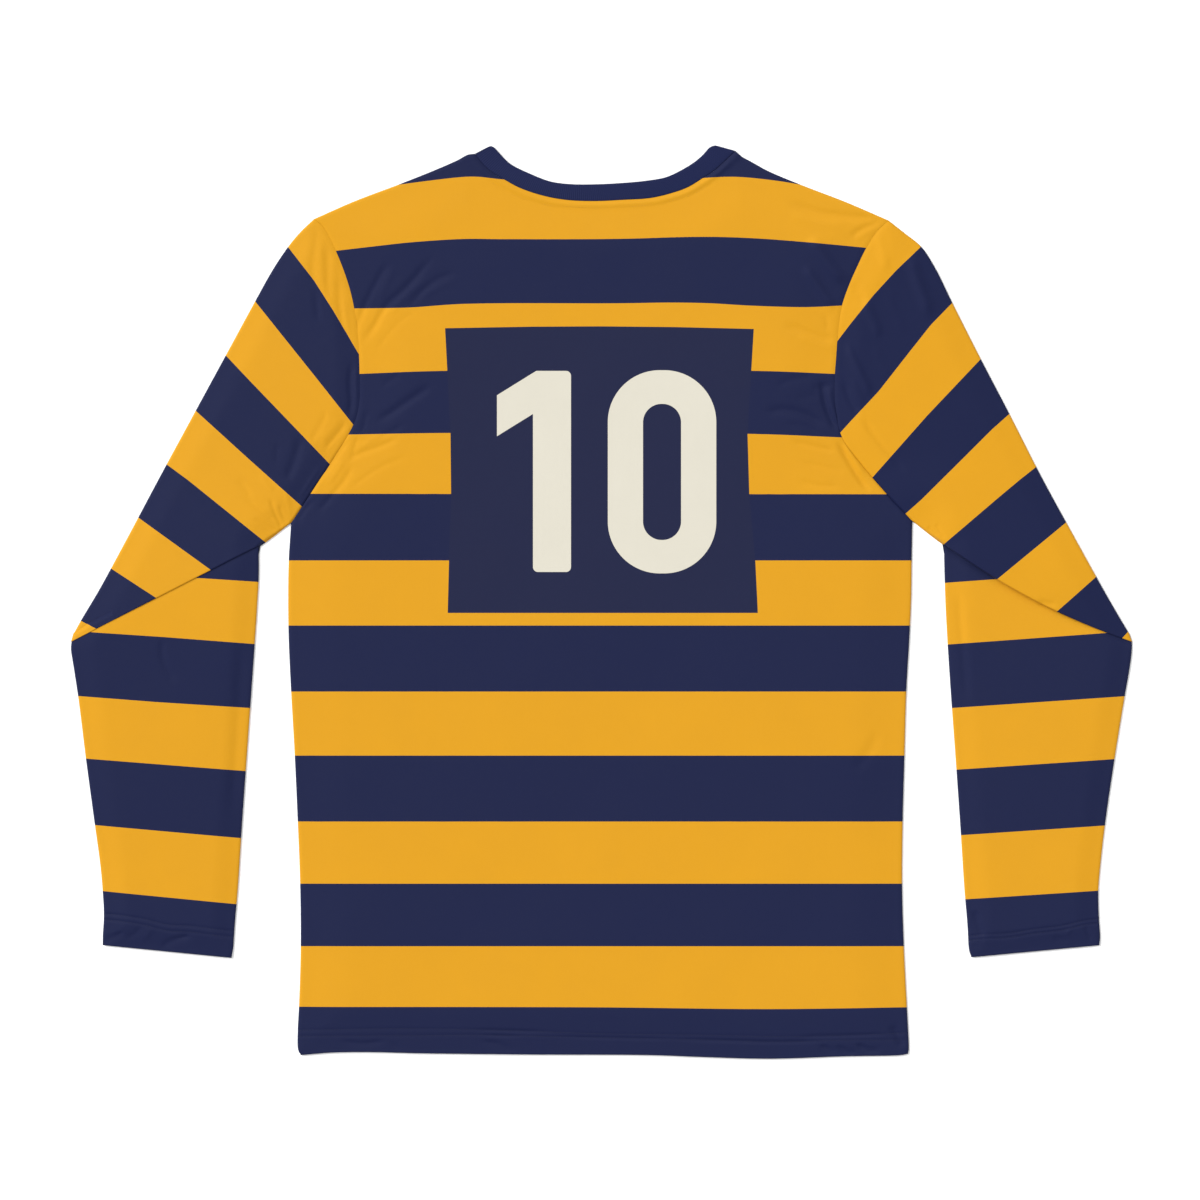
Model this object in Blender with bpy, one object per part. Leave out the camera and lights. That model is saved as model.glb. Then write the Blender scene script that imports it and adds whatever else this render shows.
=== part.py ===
"""A long-sleeved striped jersey, laid on its front on a flat surface with its back up.

It is cut and sewn from five pieces: a front panel, a back panel, two sleeves and a neckband.
Each sleeve is a flattened tube that is laid over at the elbow, so its upper part laps over its
lower part along a slanting fold. +X is the wearer's right, +Y is towards the neck, +Z is up.
Sizes and tables are in millimetres and turned into metres when a mesh is made.
"""

import math
from collections import namedtuple

import bmesh
import bpy
import numpy as np

METRES_PER_MM = 0.001

# Cloth and the way it lies
CLOTH = 1.0
LAYER_GAP = 0.3
SEAM_GAP = 0.37
UPPER_LAYER = CLOTH + LAYER_GAP
LAID_THICKNESS = UPPER_LAYER + CLOTH
BACK_LOFT = 1.5
BACK_LOFT_REACH = 30.0
SLEEVE_LOFT = 1.2
SLEEVE_LOFT_REACH = 22.0
EDGE_ROUND = 0.5
CAVITY_INSET = 1.3

# Neckband
BAND_THICKNESS = 1.5
BAND_ROLL_INSET = 1.3
FRONT_NECK_DEPTH = 123.0
FRONT_BAND_DEPTH = 114.5
FRONT_NECK_STEPS = 16

# Elbow fold
OVERLAP_HEIGHT = 2.6
OVERLAP_RISE_FROM_ELBOW = 0.55
OVERLAP_REACH = 85.0
OVERLAP_RISE_FROM_UNDERARM = 38.0
SHELF = 5.0
CREST = 1.2
CREST_CAVITY = 2.6
NOSE_HEIGHT_SHARE = 0.55
FOOT = 0.5
SAG_REACH = 80.0

# Rounded edge of a flattened tube, and the groove between its layers where it is lapped
EDGE_BULGE_INSET = 0.12
EDGE_BULGE_DROP = 0.6
LAP_GROOVE = 0.6
LAP_GROOVE_RISE = 1.3

# A station gives a point on the left half and the point that answers it on the right half.
Station = namedtuple("Station", "left_x left_y right_x right_y")
# A band station gives a point of the neck seam and the point across it on the band's free edge.
BandStation = namedtuple("BandStation", "seam_x seam_y free_x free_y")
# A turn step gives a section of the neckband where it turns under at a shoulder.
TurnStep = namedtuple("TurnStep", "outer_inset outer_height inner_inset inner_height")
# A lower sleeve section runs from the outer edge to the inner edge.
Section = namedtuple(
    "Section",
    "left_outer_x left_outer_y left_inner_x left_inner_y right_outer_x right_outer_y right_inner_x right_inner_y",
)

SIDE_SEAMS = [
    Station(-250.5, -377.5, 254.5, -376.5),
    Station(-253, -374, 255.5, -374),
    Station(-253.5, -356.5, 255, -356.5),
    Station(-252.5, -337.5, 254, -337.5),
    Station(-251, -287.5, 251.5, -287.5),
    Station(-251.5, -234.5, 250, -234.5),
    Station(-253.5, -183, 250.5, -183),
    Station(-256, -128, 252, -128),
    Station(-259, -75, 253.5, -75),
    Station(-261, -31.5, 256, -31.5),
    Station(-261.5, 1.5, 257.5, 1.5),
    Station(-261, 35, 258, 35),
]

# From the underarm to the shoulder point
ARMHOLES = [
    Station(-259, 66, 258.5, 67.5),
    Station(-238.5, 97, 236.5, 91),
    Station(-222, 122.5, 217, 113.5),
    Station(-207, 148, 200.5, 136),
    Station(-202.5, 165, 195, 156.5),
    Station(-202, 185, 193.5, 178),
    Station(-202.5, 207, 195, 203),
    Station(-205, 236, 198.5, 241),
    Station(-210, 260.5, 204, 259.5),
    Station(-218.5, 285, 213, 280.5),
    Station(-228, 305.5, 221.5, 297.5),
    Station(-233.5, 314, 229.5, 309.5),
    Station(-240, 319, 238.5, 318),
]

# From the shoulder point to the neck
SHOULDERS = [
    Station(-240, 319, 238.5, 318),
    Station(-206, 334, 202.5, 333.5),
    Station(-169, 348, 166, 347.5),
    Station(-136.5, 361, 137.5, 359.5),
    Station(-106, 373.5, 111, 376),
]

# Across the back of the neck, left to right
BACK_NECK = [
    BandStation(-106, 373.5, -91.5, 380),
    BandStation(-98.5, 364, -85.5, 374),
    BandStation(-91.5, 358, -80, 368),
    BandStation(-81.5, 352, -74, 363.5),
    BandStation(-68.5, 345, -61.5, 357.5),
    BandStation(-49, 338.5, -43.5, 350.5),
    BandStation(-30, 335, -27, 348.2),
    BandStation(-6.5, 334, -6, 348),
    BandStation(16.5, 335, 15, 349),
    BandStation(40, 336.5, 37, 351),
    BandStation(57.5, 340.5, 53.5, 354),
    BandStation(71.5, 345.5, 65.5, 359.5),
    BandStation(84.5, 353.5, 77, 366.5),
    BandStation(93.5, 359.5, 84, 372.5),
    BandStation(103.5, 368.5, 90, 379),
    BandStation(111, 376, 94.5, 380.5),
]

# The neckband's turn at a shoulder, from its upper half to its lower half
BAND_TURN = [
    TurnStep(0.35, 2.35, 1.15, 1.25),
    TurnStep(0.0, 1.4, 1.05, 1.15),
    TurnStep(0.35, 0.45, 1.15, 1.05),
]

# The hem's edge between the side seams, as x and y
HEM = [
    (-250.5, -377.5),
    (-226.5, -375.5),
    (-195, -375),
    (-151.5, -376),
    (-60, -377),
    (40, -377.5),
    (81.5, -379),
    (139, -380.5),
    (202.5, -378.5),
    (248.5, -377.5),
    (254.5, -376.5),
]

# The upper sleeve's outer edge, from the shoulder point to the start of the fold's shelf
UPPER_SLEEVE_OUTER = [
    Station(-240, 319, 238.5, 318),
    Station(-251.5, 308, 252.5, 307),
    Station(-261.5, 296, 266, 296),
    Station(-274.5, 276.5, 277.5, 278.5),
    Station(-288.5, 251.5, 291.5, 250),
    Station(-313.5, 205.5, 314.5, 204.5),
    Station(-338.5, 159.5, 338.5, 158.5),
    Station(-368, 105, 366, 104.5),
    Station(-396.5, 51.5, 395, 51.5),
    Station(-419, 10, 418, 10),
    Station(-433, -13.5, 431.5, -13.5),
    Station(-440, -26, 439, -26),
]

# The fold's edge, from the elbow's outer point to where it crosses the lower sleeve's inner edge
FOLD_OUTER = Station(-442, -33, 441.5, -33)
FOLD_INNER = Station(-286, 47, 285, 48)
FOLD_SAG_LEFT = 0.0
FOLD_SAG_RIGHT = 7.0

# Sections of the lower sleeve, from the elbow to the cuff
LOWER_SLEEVE = [
    Section(-442.5, -39, -286, 38.5, 441.5, -39, 285, 38.5),
    Section(-440.5, -52.5, -286, 21, 440, -52.5, 285.5, 18.5),
    Section(-436.5, -78.5, -287.5, -6.5, 435.5, -78.5, 286.5, -8.5),
    Section(-430, -130.5, -291, -58.5, 427, -131, 289.5, -59),
    Section(-422.5, -186, -296, -129, 419, -186, 294.5, -129),
    Section(-418, -219, -300, -186, 415.5, -216.5, 298.5, -186),
    Section(-416, -241, -303.5, -240, 413.5, -241, 302, -240),
    Section(-415, -261, -306, -269, 414, -263.5, 304.5, -269),
    Section(-416, -281, -307.5, -290, 415, -281, 306, -291),
    Section(-415.5, -286, -309, -296.5, 414, -286, 308, -296),
]

# Colour (linear), roughness and metallic value of each piece
STRIPED_KNIT = ((0.80, 0.40, 0.024), 0.85, 0.0)
NAVY_KNIT = ((0.02, 0.026, 0.077), 0.85, 0.0)


def left_points(stations):
    return np.array([(s.left_x, s.left_y) for s in stations], float)


def right_points(stations):
    return np.array([(s.right_x, s.right_y) for s in stations], float)


def unit(vectors):
    lengths = np.linalg.norm(vectors, axis=-1, keepdims=True)
    return vectors / lengths


def smooth_step(share):
    clipped = np.clip(share, 0.0, 1.0)
    return clipped * clipped * (3.0 - 2.0 * clipped)


def distance_to_path(points, path):
    """Distance of each point to the nearest stretch of an open path."""
    starts, ends = path[:-1], path[1:]
    runs = ends - starts
    offsets = points[:, None, :] - starts[None, :, :]
    along = np.clip((offsets * runs).sum(-1) / (runs * runs).sum(-1), 0.0, 1.0)
    nearest = starts[None] + along[..., None] * runs[None]
    return np.linalg.norm(points[:, None, :] - nearest, axis=-1).min(axis=1)


def path_normals(path):
    """Unit normals to the left of an open path, at its points."""
    directions = unit(np.diff(path, axis=0))
    before = np.vstack([directions[:1], directions])
    after = np.vstack([directions, directions[-1:]])
    tangents = unit(before + after)
    return np.column_stack([-tangents[:, 1], tangents[:, 0]])


def make_object(name, mesh_builder, finish):
    """Object of one closed body, faces out, with its own material."""
    bmesh.ops.recalc_face_normals(mesh_builder, faces=mesh_builder.faces)
    mesh = bpy.data.meshes.new(name)
    mesh_builder.to_mesh(mesh)
    mesh_builder.free()
    colour, roughness, metallic = finish
    material = bpy.data.materials.new(name)
    material.use_nodes = True
    shader = material.node_tree.nodes["Principled BSDF"]
    shader.inputs["Base Color"].default_value = (*colour, 1.0)
    shader.inputs["Roughness"].default_value = roughness
    shader.inputs["Metallic"].default_value = metallic
    mesh.materials.append(material)
    piece = bpy.data.objects.new(name, mesh)
    bpy.context.scene.collection.objects.link(piece)
    return piece


def add_points(builder, plan, heights):
    """Vertices at plan points and heights, in millimetres."""
    heights = np.broadcast_to(heights, (len(plan),))
    return [
        builder.verts.new((x * METRES_PER_MM, y * METRES_PER_MM, z * METRES_PER_MM))
        for (x, y), z in zip(plan, heights)
    ]


def front_neck():
    """Seam and free edge of the front neckline, left to right."""
    first, last = BACK_NECK[0], BACK_NECK[-1]
    turns = np.linspace(math.pi, 2.0 * math.pi, FRONT_NECK_STEPS + 1)

    def half_ellipse(left, right, depth):
        middle = (np.array(left) + np.array(right)) / 2.0
        reach = (np.array(right) - np.array(left)) / 2.0
        points = middle + np.cos(turns)[:, None] * reach
        points[:, 1] += depth * np.sin(turns)
        return points

    seam = half_ellipse(first[:2], last[:2], FRONT_NECK_DEPTH)
    free = half_ellipse(first[2:], last[2:], FRONT_BAND_DEPTH)
    return seam, free


def back_neck():
    seam = np.array([(s.seam_x, s.seam_y) for s in BACK_NECK], float)
    free = np.array([(s.free_x, s.free_y) for s in BACK_NECK], float)
    return seam, free


def body_edges(neck_seam):
    """Left edge, right edge and top edge of a body panel."""
    left = np.vstack([left_points(SIDE_SEAMS), left_points(ARMHOLES)])
    right = np.vstack([right_points(SIDE_SEAMS), right_points(ARMHOLES)])
    top = np.vstack([left_points(SHOULDERS), neck_seam[1:-1], right_points(SHOULDERS)[::-1]])
    return left, right, top


def make_front():
    """Front panel: one flat layer on the surface."""
    left, right, top = body_edges(front_neck()[0])
    hem = np.array(HEM)
    outline = np.vstack([hem[1:-1], right, top[1:-1][::-1], left[::-1]])
    builder = bmesh.new()
    face = builder.faces.new(add_points(builder, outline, 0.0))
    lifted = bmesh.ops.extrude_face_region(builder, geom=[face])["geom"]
    moved = [item for item in lifted if isinstance(item, bmesh.types.BMVert)]
    bmesh.ops.translate(builder, verts=moved, vec=(0.0, 0.0, CLOTH * METRES_PER_MM))
    return make_object("front", builder, STRIPED_KNIT)


def make_back():
    """Back panel: a wall over the front, blended between its four edges, softly lofted inside them."""
    left, right, top = body_edges(back_neck()[0])
    hem = np.array(HEM)
    across = (top[:, 0] - top[0, 0]) / (top[-1, 0] - top[0, 0])
    hem_x = hem[0, 0] + across * (hem[-1, 0] - hem[0, 0])
    bottom = np.column_stack([hem_x, np.interp(hem_x, hem[:, 0], hem[:, 1])])
    climb = (left[:, 1] + right[:, 1] - left[0, 1] - right[0, 1]) / (
        left[-1, 1] + right[-1, 1] - left[0, 1] - right[0, 1]
    )
    u = across[None, :, None]
    v = climb[:, None, None]
    ruled = (1 - v) * bottom[None] + v * top[None] + (1 - u) * left[:, None] + u * right[:, None]
    corners = (1 - u) * ((1 - v) * left[0] + v * left[-1]) + u * ((1 - v) * right[0] + v * right[-1])
    grid = ruled - corners
    rows, columns = grid.shape[:2]
    plan = grid.reshape(-1, 2)
    outline = np.vstack([bottom, right[1:], top[::-1][1:], left[::-1][1:]])
    loft = BACK_LOFT * smooth_step(distance_to_path(plan, outline) / BACK_LOFT_REACH)
    builder = bmesh.new()
    points = add_points(builder, plan, UPPER_LAYER + loft)
    for row in range(rows - 1):
        for column in range(columns - 1):
            first = row * columns + column
            builder.faces.new(
                (points[first], points[first + 1], points[first + columns + 1], points[first + columns])
            )
    piece = make_object("back", builder, STRIPED_KNIT)
    if piece.data.polygons[0].normal.z < 0.0:
        piece.data.flip_normals()
    wall = piece.modifiers.new("Cloth wall", "SOLIDIFY")
    wall.thickness = CLOTH * METRES_PER_MM
    wall.offset = 1.0
    wall.use_rim = True
    return piece


def band_half(seam, free, outer_height, inner_height):
    """Four-cornered sections of one half of the neckband, drawn in at both ends for the roll."""
    normals = path_normals(seam)
    sides = np.sign(((free - seam) * normals).sum(axis=1, keepdims=True))
    sewn = seam + SEAM_GAP * sides * normals
    edge = free.copy()
    for path in (sewn, edge):
        path[0] += BAND_ROLL_INSET * unit(path[1] - path[0])
        path[-1] += BAND_ROLL_INSET * unit(path[-2] - path[-1])
    return [
        ((*a, outer_height), (*b, outer_height), (*b, inner_height), (*a, inner_height))
        for a, b in zip(sewn, edge)
    ]


def band_turn(seam, free):
    """Sections of the turn at the start of the back's half, from the upper half to the lower half."""
    sewn = seam[0] + SEAM_GAP * unit(free[0] - seam[0])
    seam_inward = unit(seam[1] - seam[0])
    free_inward = unit(free[1] - free[0])
    return [
        (
            (*(sewn + step.outer_inset * seam_inward), step.outer_height),
            (*(free[0] + step.outer_inset * free_inward), step.outer_height),
            (*(free[0] + step.inner_inset * free_inward), step.inner_height),
            (*(sewn + step.inner_inset * seam_inward), step.inner_height),
        )
        for step in BAND_TURN
    ]


def make_neckband():
    """Ring of folded rib: the back half lies on top and the front half beneath it."""
    back_seam, back_free = back_neck()
    front_seam, front_free = front_neck()
    sections = band_half(back_seam, back_free, UPPER_LAYER + BAND_THICKNESS, UPPER_LAYER)
    sections += band_turn(back_seam[::-1], back_free[::-1])
    sections += band_half(front_seam[::-1], front_free[::-1], 0.0, CLOTH)
    sections += band_turn(back_seam, back_free)[::-1]
    builder = bmesh.new()
    rings = []
    for section in sections:
        plan = [(x, y) for x, y, height in section]
        rings.append(add_points(builder, plan, [height for x, y, height in section]))
    for ring, following in zip(rings, rings[1:] + rings[:1]):
        for corner in range(4):
            beyond = (corner + 1) % 4
            builder.faces.new((ring[corner], ring[beyond], following[beyond], following[corner]))
    return make_object("neckband", builder, NAVY_KNIT)


def fold_line(points, sag, shares):
    """Points of the fold's edge at the sleeve's columns, and its unit normal towards the shoulder."""
    inner = points([FOLD_INNER])[0]
    outer = points([FOLD_OUTER])[0]
    run = outer - inner
    normal = np.array([-run[1], run[0]]) / np.linalg.norm(run)
    if normal[1] < 0.0:
        normal = -normal
    bow = 4.0 * sag * shares * (1.0 - shares)
    return inner + shares[:, None] * run - bow[:, None] * normal, normal


def sleeve_rows(points, outward, sag):
    """Plan rows of a sleeve as arrays of points, the inner column first.

    The upper rows fan out from the underarm point, which they share and leave out.
    """
    armhole = points(ARMHOLES)
    armhole = armhole + outward * SEAM_GAP * path_normals(armhole)
    underarm, sewn = armhole[0], armhole[1:]
    lengths = np.linalg.norm(np.diff(armhole, axis=0), axis=1).cumsum()
    across = lengths / lengths[-1]
    shares = (across - across[0]) / (1.0 - across[0])
    fold, normal = fold_line(points, sag, shares)
    outer = points(UPPER_SLEEVE_OUTER)
    shelf = fold + SHELF * normal
    shelf[-1] = outer[-1]
    outer_run = np.linalg.norm(np.diff(outer, axis=0), axis=1).cumsum()
    rows = [sewn]
    for row, share in enumerate(outer_run / outer_run[-1], start=1):
        ruled = (1.0 - share) * sewn + share * shelf
        rows.append(ruled + across[:, None] * (outer[row] - ruled[-1]))
    crest = fold + CREST * normal
    crest[-1] = fold[-1] + CREST * unit(shelf[-1] - fold[-1])
    return underarm, rows, crest, fold, normal, shares


def lower_rows(is_left, fold, normal, sag, shares):
    """Plan rows of the lower sleeve, from the foot of the fold to the cuff."""
    if is_left:
        outer = np.array([(s.left_outer_x, s.left_outer_y) for s in LOWER_SLEEVE])
        inner = np.array([(s.left_inner_x, s.left_inner_y) for s in LOWER_SLEEVE])
    else:
        outer = np.array([(s.right_outer_x, s.right_outer_y) for s in LOWER_SLEEVE])
        inner = np.array([(s.right_inner_x, s.right_inner_y) for s in LOWER_SLEEVE])
    foot = fold - FOOT * normal
    foot[0] = fold[0] + FOOT * unit(inner[0] - fold[0])
    foot[-1] = fold[-1] + FOOT * unit(outer[0] - fold[-1])
    rows = [foot]
    for outer_end, inner_end in zip(outer, inner):
        below_fold = (np.linalg.norm(outer_end - fold[-1]) + np.linalg.norm(inner_end - fold[0])) / 2.0
        bow = 4.0 * sag * shares * (1.0 - shares) * max(0.0, 1.0 - below_fold / SAG_REACH)
        rows.append(inner_end + shares[:, None] * (outer_end - inner_end) - bow[:, None] * normal)
    return rows


def inward_directions(path, open_edges):
    """For each point of a closed path, the direction in which a wall's inner surface lies.

    Along a sewn or folded edge it is square to the edge. At the end of an open edge it runs along
    that edge, and between open edges it is nothing.
    """
    area = np.cross(path, np.roll(path, -1, axis=0)).sum()
    turn = 1.0 if area > 0.0 else -1.0
    directions = np.zeros_like(path)
    count = len(path)
    for index in range(count):
        arriving = unit(path[index] - path[index - 1])
        leaving = unit(path[(index + 1) % count] - path[index])
        open_before, open_after = open_edges[index - 1], open_edges[index]
        if open_before and open_after:
            continue
        if open_before:
            directions[index] = -arriving
        elif open_after:
            directions[index] = leaving
        else:
            tangent = unit(arriving + leaving)
            directions[index] = turn * np.array([-tangent[1], tangent[0]])
    return directions


def make_tube(name, plan, cavity_plan, faces, heights, boundary, open_edges):
    """Flattened tube: an upper and a lower wall over one plan, joined along its closed edges.

    heights holds the top of the upper wall, its underside, and the share of an overlap at each point.
    """
    top, underside, lap = heights
    inward = np.zeros_like(plan)
    inward[boundary] = inward_directions(plan[boundary], open_edges)
    builder = bmesh.new()
    rounded = plan + EDGE_ROUND * inward
    hollow = cavity_plan + CAVITY_INSET * inward
    outer_top = add_points(builder, rounded, top)
    outer_bottom = add_points(builder, rounded, 0.0)
    inner_top = add_points(builder, hollow, underside)
    inner_bottom = add_points(builder, hollow, CLOTH)
    for face in faces:
        for level in (outer_top, outer_bottom, inner_top, inner_bottom):
            builder.faces.new([level[index] for index in face])
    edge_points = {}
    for position, index in enumerate(boundary):
        if open_edges[position] and open_edges[position - 1]:
            continue
        profile = [
            (EDGE_BULGE_INSET, top[index] - EDGE_BULGE_DROP),
            (LAP_GROOVE * lap[index], LAID_THICKNESS / 2.0 + LAP_GROOVE_RISE * lap[index]),
            (EDGE_BULGE_INSET, EDGE_BULGE_DROP),
        ]
        middle = [
            add_points(builder, [plan[index] + inset * inward[index]], height)[0] for inset, height in profile
        ]
        edge_points[index] = [outer_top[index], *middle, outer_bottom[index]]
    for position, index in enumerate(boundary):
        following = boundary[(position + 1) % len(boundary)]
        if open_edges[position]:
            builder.faces.new((inner_top[index], inner_top[following], outer_top[following], outer_top[index]))
            builder.faces.new(
                (outer_bottom[index], outer_bottom[following], inner_bottom[following], inner_bottom[index])
            )
            continue
        here, there = edge_points[index], edge_points[following]
        for level in range(len(here) - 1):
            builder.faces.new((here[level + 1], there[level + 1], there[level], here[level]))
        builder.faces.new(
            (inner_bottom[following], inner_bottom[index], inner_top[index], inner_top[following])
        )
    for position, index in enumerate(boundary):
        if open_edges[position] != open_edges[position - 1]:
            builder.faces.new([*edge_points[index], inner_bottom[index], inner_top[index]])
    return make_object(name, builder, STRIPED_KNIT)


def make_sleeve(name, is_left):
    """Sleeve: a flattened tube from the armhole to the cuff, its upper part lapped over at the elbow."""
    points, outward, sag = (left_points, 1.0, FOLD_SAG_LEFT) if is_left else (right_points, -1.0, FOLD_SAG_RIGHT)
    underarm, upper, crest, fold, normal, shares = sleeve_rows(points, outward, sag)
    lower = lower_rows(is_left, fold, normal, sag, shares)
    rows = [*upper, crest, fold, *lower]
    fold_row = len(upper) + 1
    columns = len(fold)
    plan = np.vstack([underarm[None], *rows])
    row_start = [1 + row * columns for row in range(len(rows))]
    faces = [(0, row_start[row], row_start[row + 1]) for row in range(fold_row)]
    for start, following in zip(row_start, row_start[1:]):
        for column in range(columns - 1):
            faces.append((start + column, start + column + 1, following + column + 1, following + column))
    armhole_edge = [0, *range(1, columns + 1)]
    outer_edge = [start + columns - 1 for start in row_start[1:]]
    cuff_edge = [row_start[-1] + column for column in range(columns - 2, -1, -1)]
    inner_edge = row_start[fold_row:-1][::-1]
    boundary = armhole_edge + outer_edge + cuff_edge + inner_edge
    open_edges = (
        [True] * (len(armhole_edge) - 1)
        + [False] * len(outer_edge)
        + [True] * len(cuff_edge)
        + [False] * (len(inner_edge) + 1)
    )
    cavity_plan = plan.copy()
    crest_start = row_start[fold_row - 1]
    cavity_plan[crest_start : crest_start + columns - 1] += (CREST_CAVITY - CREST) * normal
    edge_path = np.vstack([plan[boundary], plan[boundary[:1]]])
    loft = SLEEVE_LOFT * smooth_step(distance_to_path(plan, edge_path) / SLEEVE_LOFT_REACH)
    lap = np.zeros(len(plan))
    from_elbow = smooth_step((1.0 - shares) / OVERLAP_RISE_FROM_ELBOW)
    for row in range(fold_row + 1):
        row_points = rows[row]
        near_fold = smooth_step(1.0 - distance_to_path(row_points, fold) / OVERLAP_REACH)
        near_underarm = smooth_step(np.linalg.norm(row_points - underarm, axis=1) / OVERLAP_RISE_FROM_UNDERARM)
        start = row_start[row]
        lap[start : start + columns] = from_elbow * near_fold * near_underarm
    nose = slice(row_start[fold_row], row_start[fold_row] + columns)
    lap[nose] *= NOSE_HEIGHT_SHARE
    heights = (LAID_THICKNESS + loft + OVERLAP_HEIGHT * lap, UPPER_LAYER + loft, lap)
    return make_tube(name, plan, cavity_plan, faces, heights, boundary, open_edges)


def main():
    for piece in list(bpy.data.objects):
        bpy.data.objects.remove(piece, do_unlink=True)
    make_front()
    make_back()
    make_sleeve("sleeve_left", True)
    make_sleeve("sleeve_right", False)
    make_neckband()


main()
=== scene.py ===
"""Looks for a long-sleeved striped jersey, laid on its front with its back up.

Sizes are in millimetres, with +X to the wearer's right and +Y towards the neck, and are turned into
metres when a mesh is made. Only the stage is set in metres. Every panel is a grid of cloth between
its seams, draped over the form of its solid, with its creases laid in and its edges rolled under.
"""

import math
from collections import namedtuple

import bpy
import numpy as np
from bpy.props import FloatProperty, FloatVectorProperty, PointerProperty
from bpy.types import Operator, Panel, PropertyGroup
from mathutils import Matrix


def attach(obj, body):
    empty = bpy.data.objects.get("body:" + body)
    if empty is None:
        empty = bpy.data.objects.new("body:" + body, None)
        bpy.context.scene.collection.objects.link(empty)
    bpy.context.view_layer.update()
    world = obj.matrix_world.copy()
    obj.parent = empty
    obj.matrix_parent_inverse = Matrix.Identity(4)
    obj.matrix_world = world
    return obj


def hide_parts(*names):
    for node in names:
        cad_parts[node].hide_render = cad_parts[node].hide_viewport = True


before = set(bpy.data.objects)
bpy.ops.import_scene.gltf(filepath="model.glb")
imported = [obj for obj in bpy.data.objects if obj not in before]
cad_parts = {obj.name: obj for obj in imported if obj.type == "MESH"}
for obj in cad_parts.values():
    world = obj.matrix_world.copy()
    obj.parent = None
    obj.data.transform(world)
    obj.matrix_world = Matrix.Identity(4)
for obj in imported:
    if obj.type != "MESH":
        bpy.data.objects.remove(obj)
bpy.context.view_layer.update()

bl_info = {
    "name": "Striped Jersey",
    "version": (1, 0, 0),
    "blender": (4, 5, 0),
    "location": "View3D > Sidebar > Jersey",
    "description": "Builds a long-sleeved striped jersey laid flat with its back up",
    "category": "Object",
}

METRES = 0.001

# Levels of the layers
CLOTH = 1.0
UPPER_LAYER = 1.3
LAID = 2.3
BAND_TOP = 2.6

# How the layers are lofted and how their edges roll under
BACK_LOFT = 1.3
BACK_LOFT_REACH = 45.0
SLEEVE_LOFT = 1.6
SLEEVE_LOFT_REACH = 22.0
SEAM_GAP = 0.1
SEAM_ROLL_REACH = 1.7
SEAM_ROLL_DEPTH = 0.22
SEAM_DIP_DEPTH = 0.4
SEAM_DIP_WIDTH = 1.5
UNDERARM_DEPTH = 1.0
UNDERARM_SHARE = 0.5
COLLAR_BULGE = 0.8
COLLAR_BULGE_FROM_SEAM = 3.8
COLLAR_BULGE_WIDTH = 2.1
SIDE_ROLL_REACH = 1.7
SIDE_ROLL_DEPTH = 1.3
UNDER_ROLL_DEPTH = 1.2
UNDER_SEAM_DEPTH = 0.6

# How the grids are spaced: insets of close rows, and how much coarser some panels are
EDGE_INSETS = (0.0, 0.25, 0.7, 1.5)
BACK_COARSE = 2.2
UNDERSIDE_COARSE = 2.8
UP_THE_BODY = (0.0, 1.0)
JOIN_REACH = 0.01
POINTS_AT_ONCE = 4000

# A sleeve's seam allowance inside the body: reach from the seam and height, from its raw edge
ALLOWANCE = ((5.0, 1.1), (2.5, 1.1), (0.4, 1.15))
ALLOWANCE_TAPER = 12.0

# A turned-up hem: inset from its edge and drop below the face, from inside out
HEM_INSIDE = ((4.0, 1.0), (0.5, 1.0), (0.15, 0.85))
HEM_EDGE = ((0.0, 0.5), (0.15, 0.15), (0.5, 0.0), (1.3, 0.0))
HEM_EDGE_INSETS = tuple(inset for inset, drop in HEM_EDGE)
HEM_FACE_INSETS = (3.0, 5.5)
HEM_FACE_ROW = 5
HEM_UPWARD_ROW = 8

# Stitching: the bands of close rows around it, its grooves and its thread
HEM_STITCH_BAND = (8.0, 26.0)
CUFF_STITCH_BAND = (10.0, 34.0)
STITCH_ROW = 0.9
STITCH_GROOVE_DEPTH = 0.22
STITCH_GROOVE_WIDTH = 1.1
CUFF_GROOVE_DEPTH = 0.42
STITCH_SHARE = 0.78
THREAD_WIDTH = 0.5
THREAD_HEIGHT = 0.42
THREAD_SUNK = 0.05
NAVY_THREAD = (0.004, 0.007, 0.035)
YELLOW_THREAD = (0.48, 0.225, 0.008)

# Elbow fold, from above
OVERLAP_RISE_FROM_ELBOW = 0.55
OVERLAP_REACH = 85.0
OVERLAP_RISE_FROM_UNDERARM = 38.0
SHELF = 5.0
LIP_RADIUS = 1.2
LIP_ANGLES = (20, 45, 70, 90, 110, 135, 160, 180)
LIP_APPROACH = (3.2, 2.1, LIP_RADIUS)
LIP_TUCK = (3.0, 7.0)
LIP_THICKNESS = 0.3
LIP_CLEARANCE = 0.2
BELOW_FOLD_INSETS = (0.0, 0.8, 2.0)
FOLD_STEPS = 40
FOLD_TURN_SHARE = 0.16
FOLD_DITCH_REACH = 3.8
HIDDEN_DROP = 0.25

# The same from below, where the forearm laps the upper arm
HIDDEN_LAP = 5.0
HIDDEN_LAP_RISE = 8.0
UNDER_LAP_RISE = 0.6
UNDER_LAP_REACH = 25.0
UNDER_LAP_EDGE_REACH = 0.8
UNDER_LAP_EDGE_DEPTH = 0.45

# Runs of the right sleeve from the cap to the elbow and from there to the cuff
UPPER_SLEEVE_RUN = (200.0, -345.0)
LOWER_SLEEVE_RUN = (-20.0, -250.0)

# Neckband
FRONT_NECK_DEPTH = 123.0
FRONT_BAND_DEPTH = 114.5
FRONT_NECK_STEPS = 64
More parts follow.
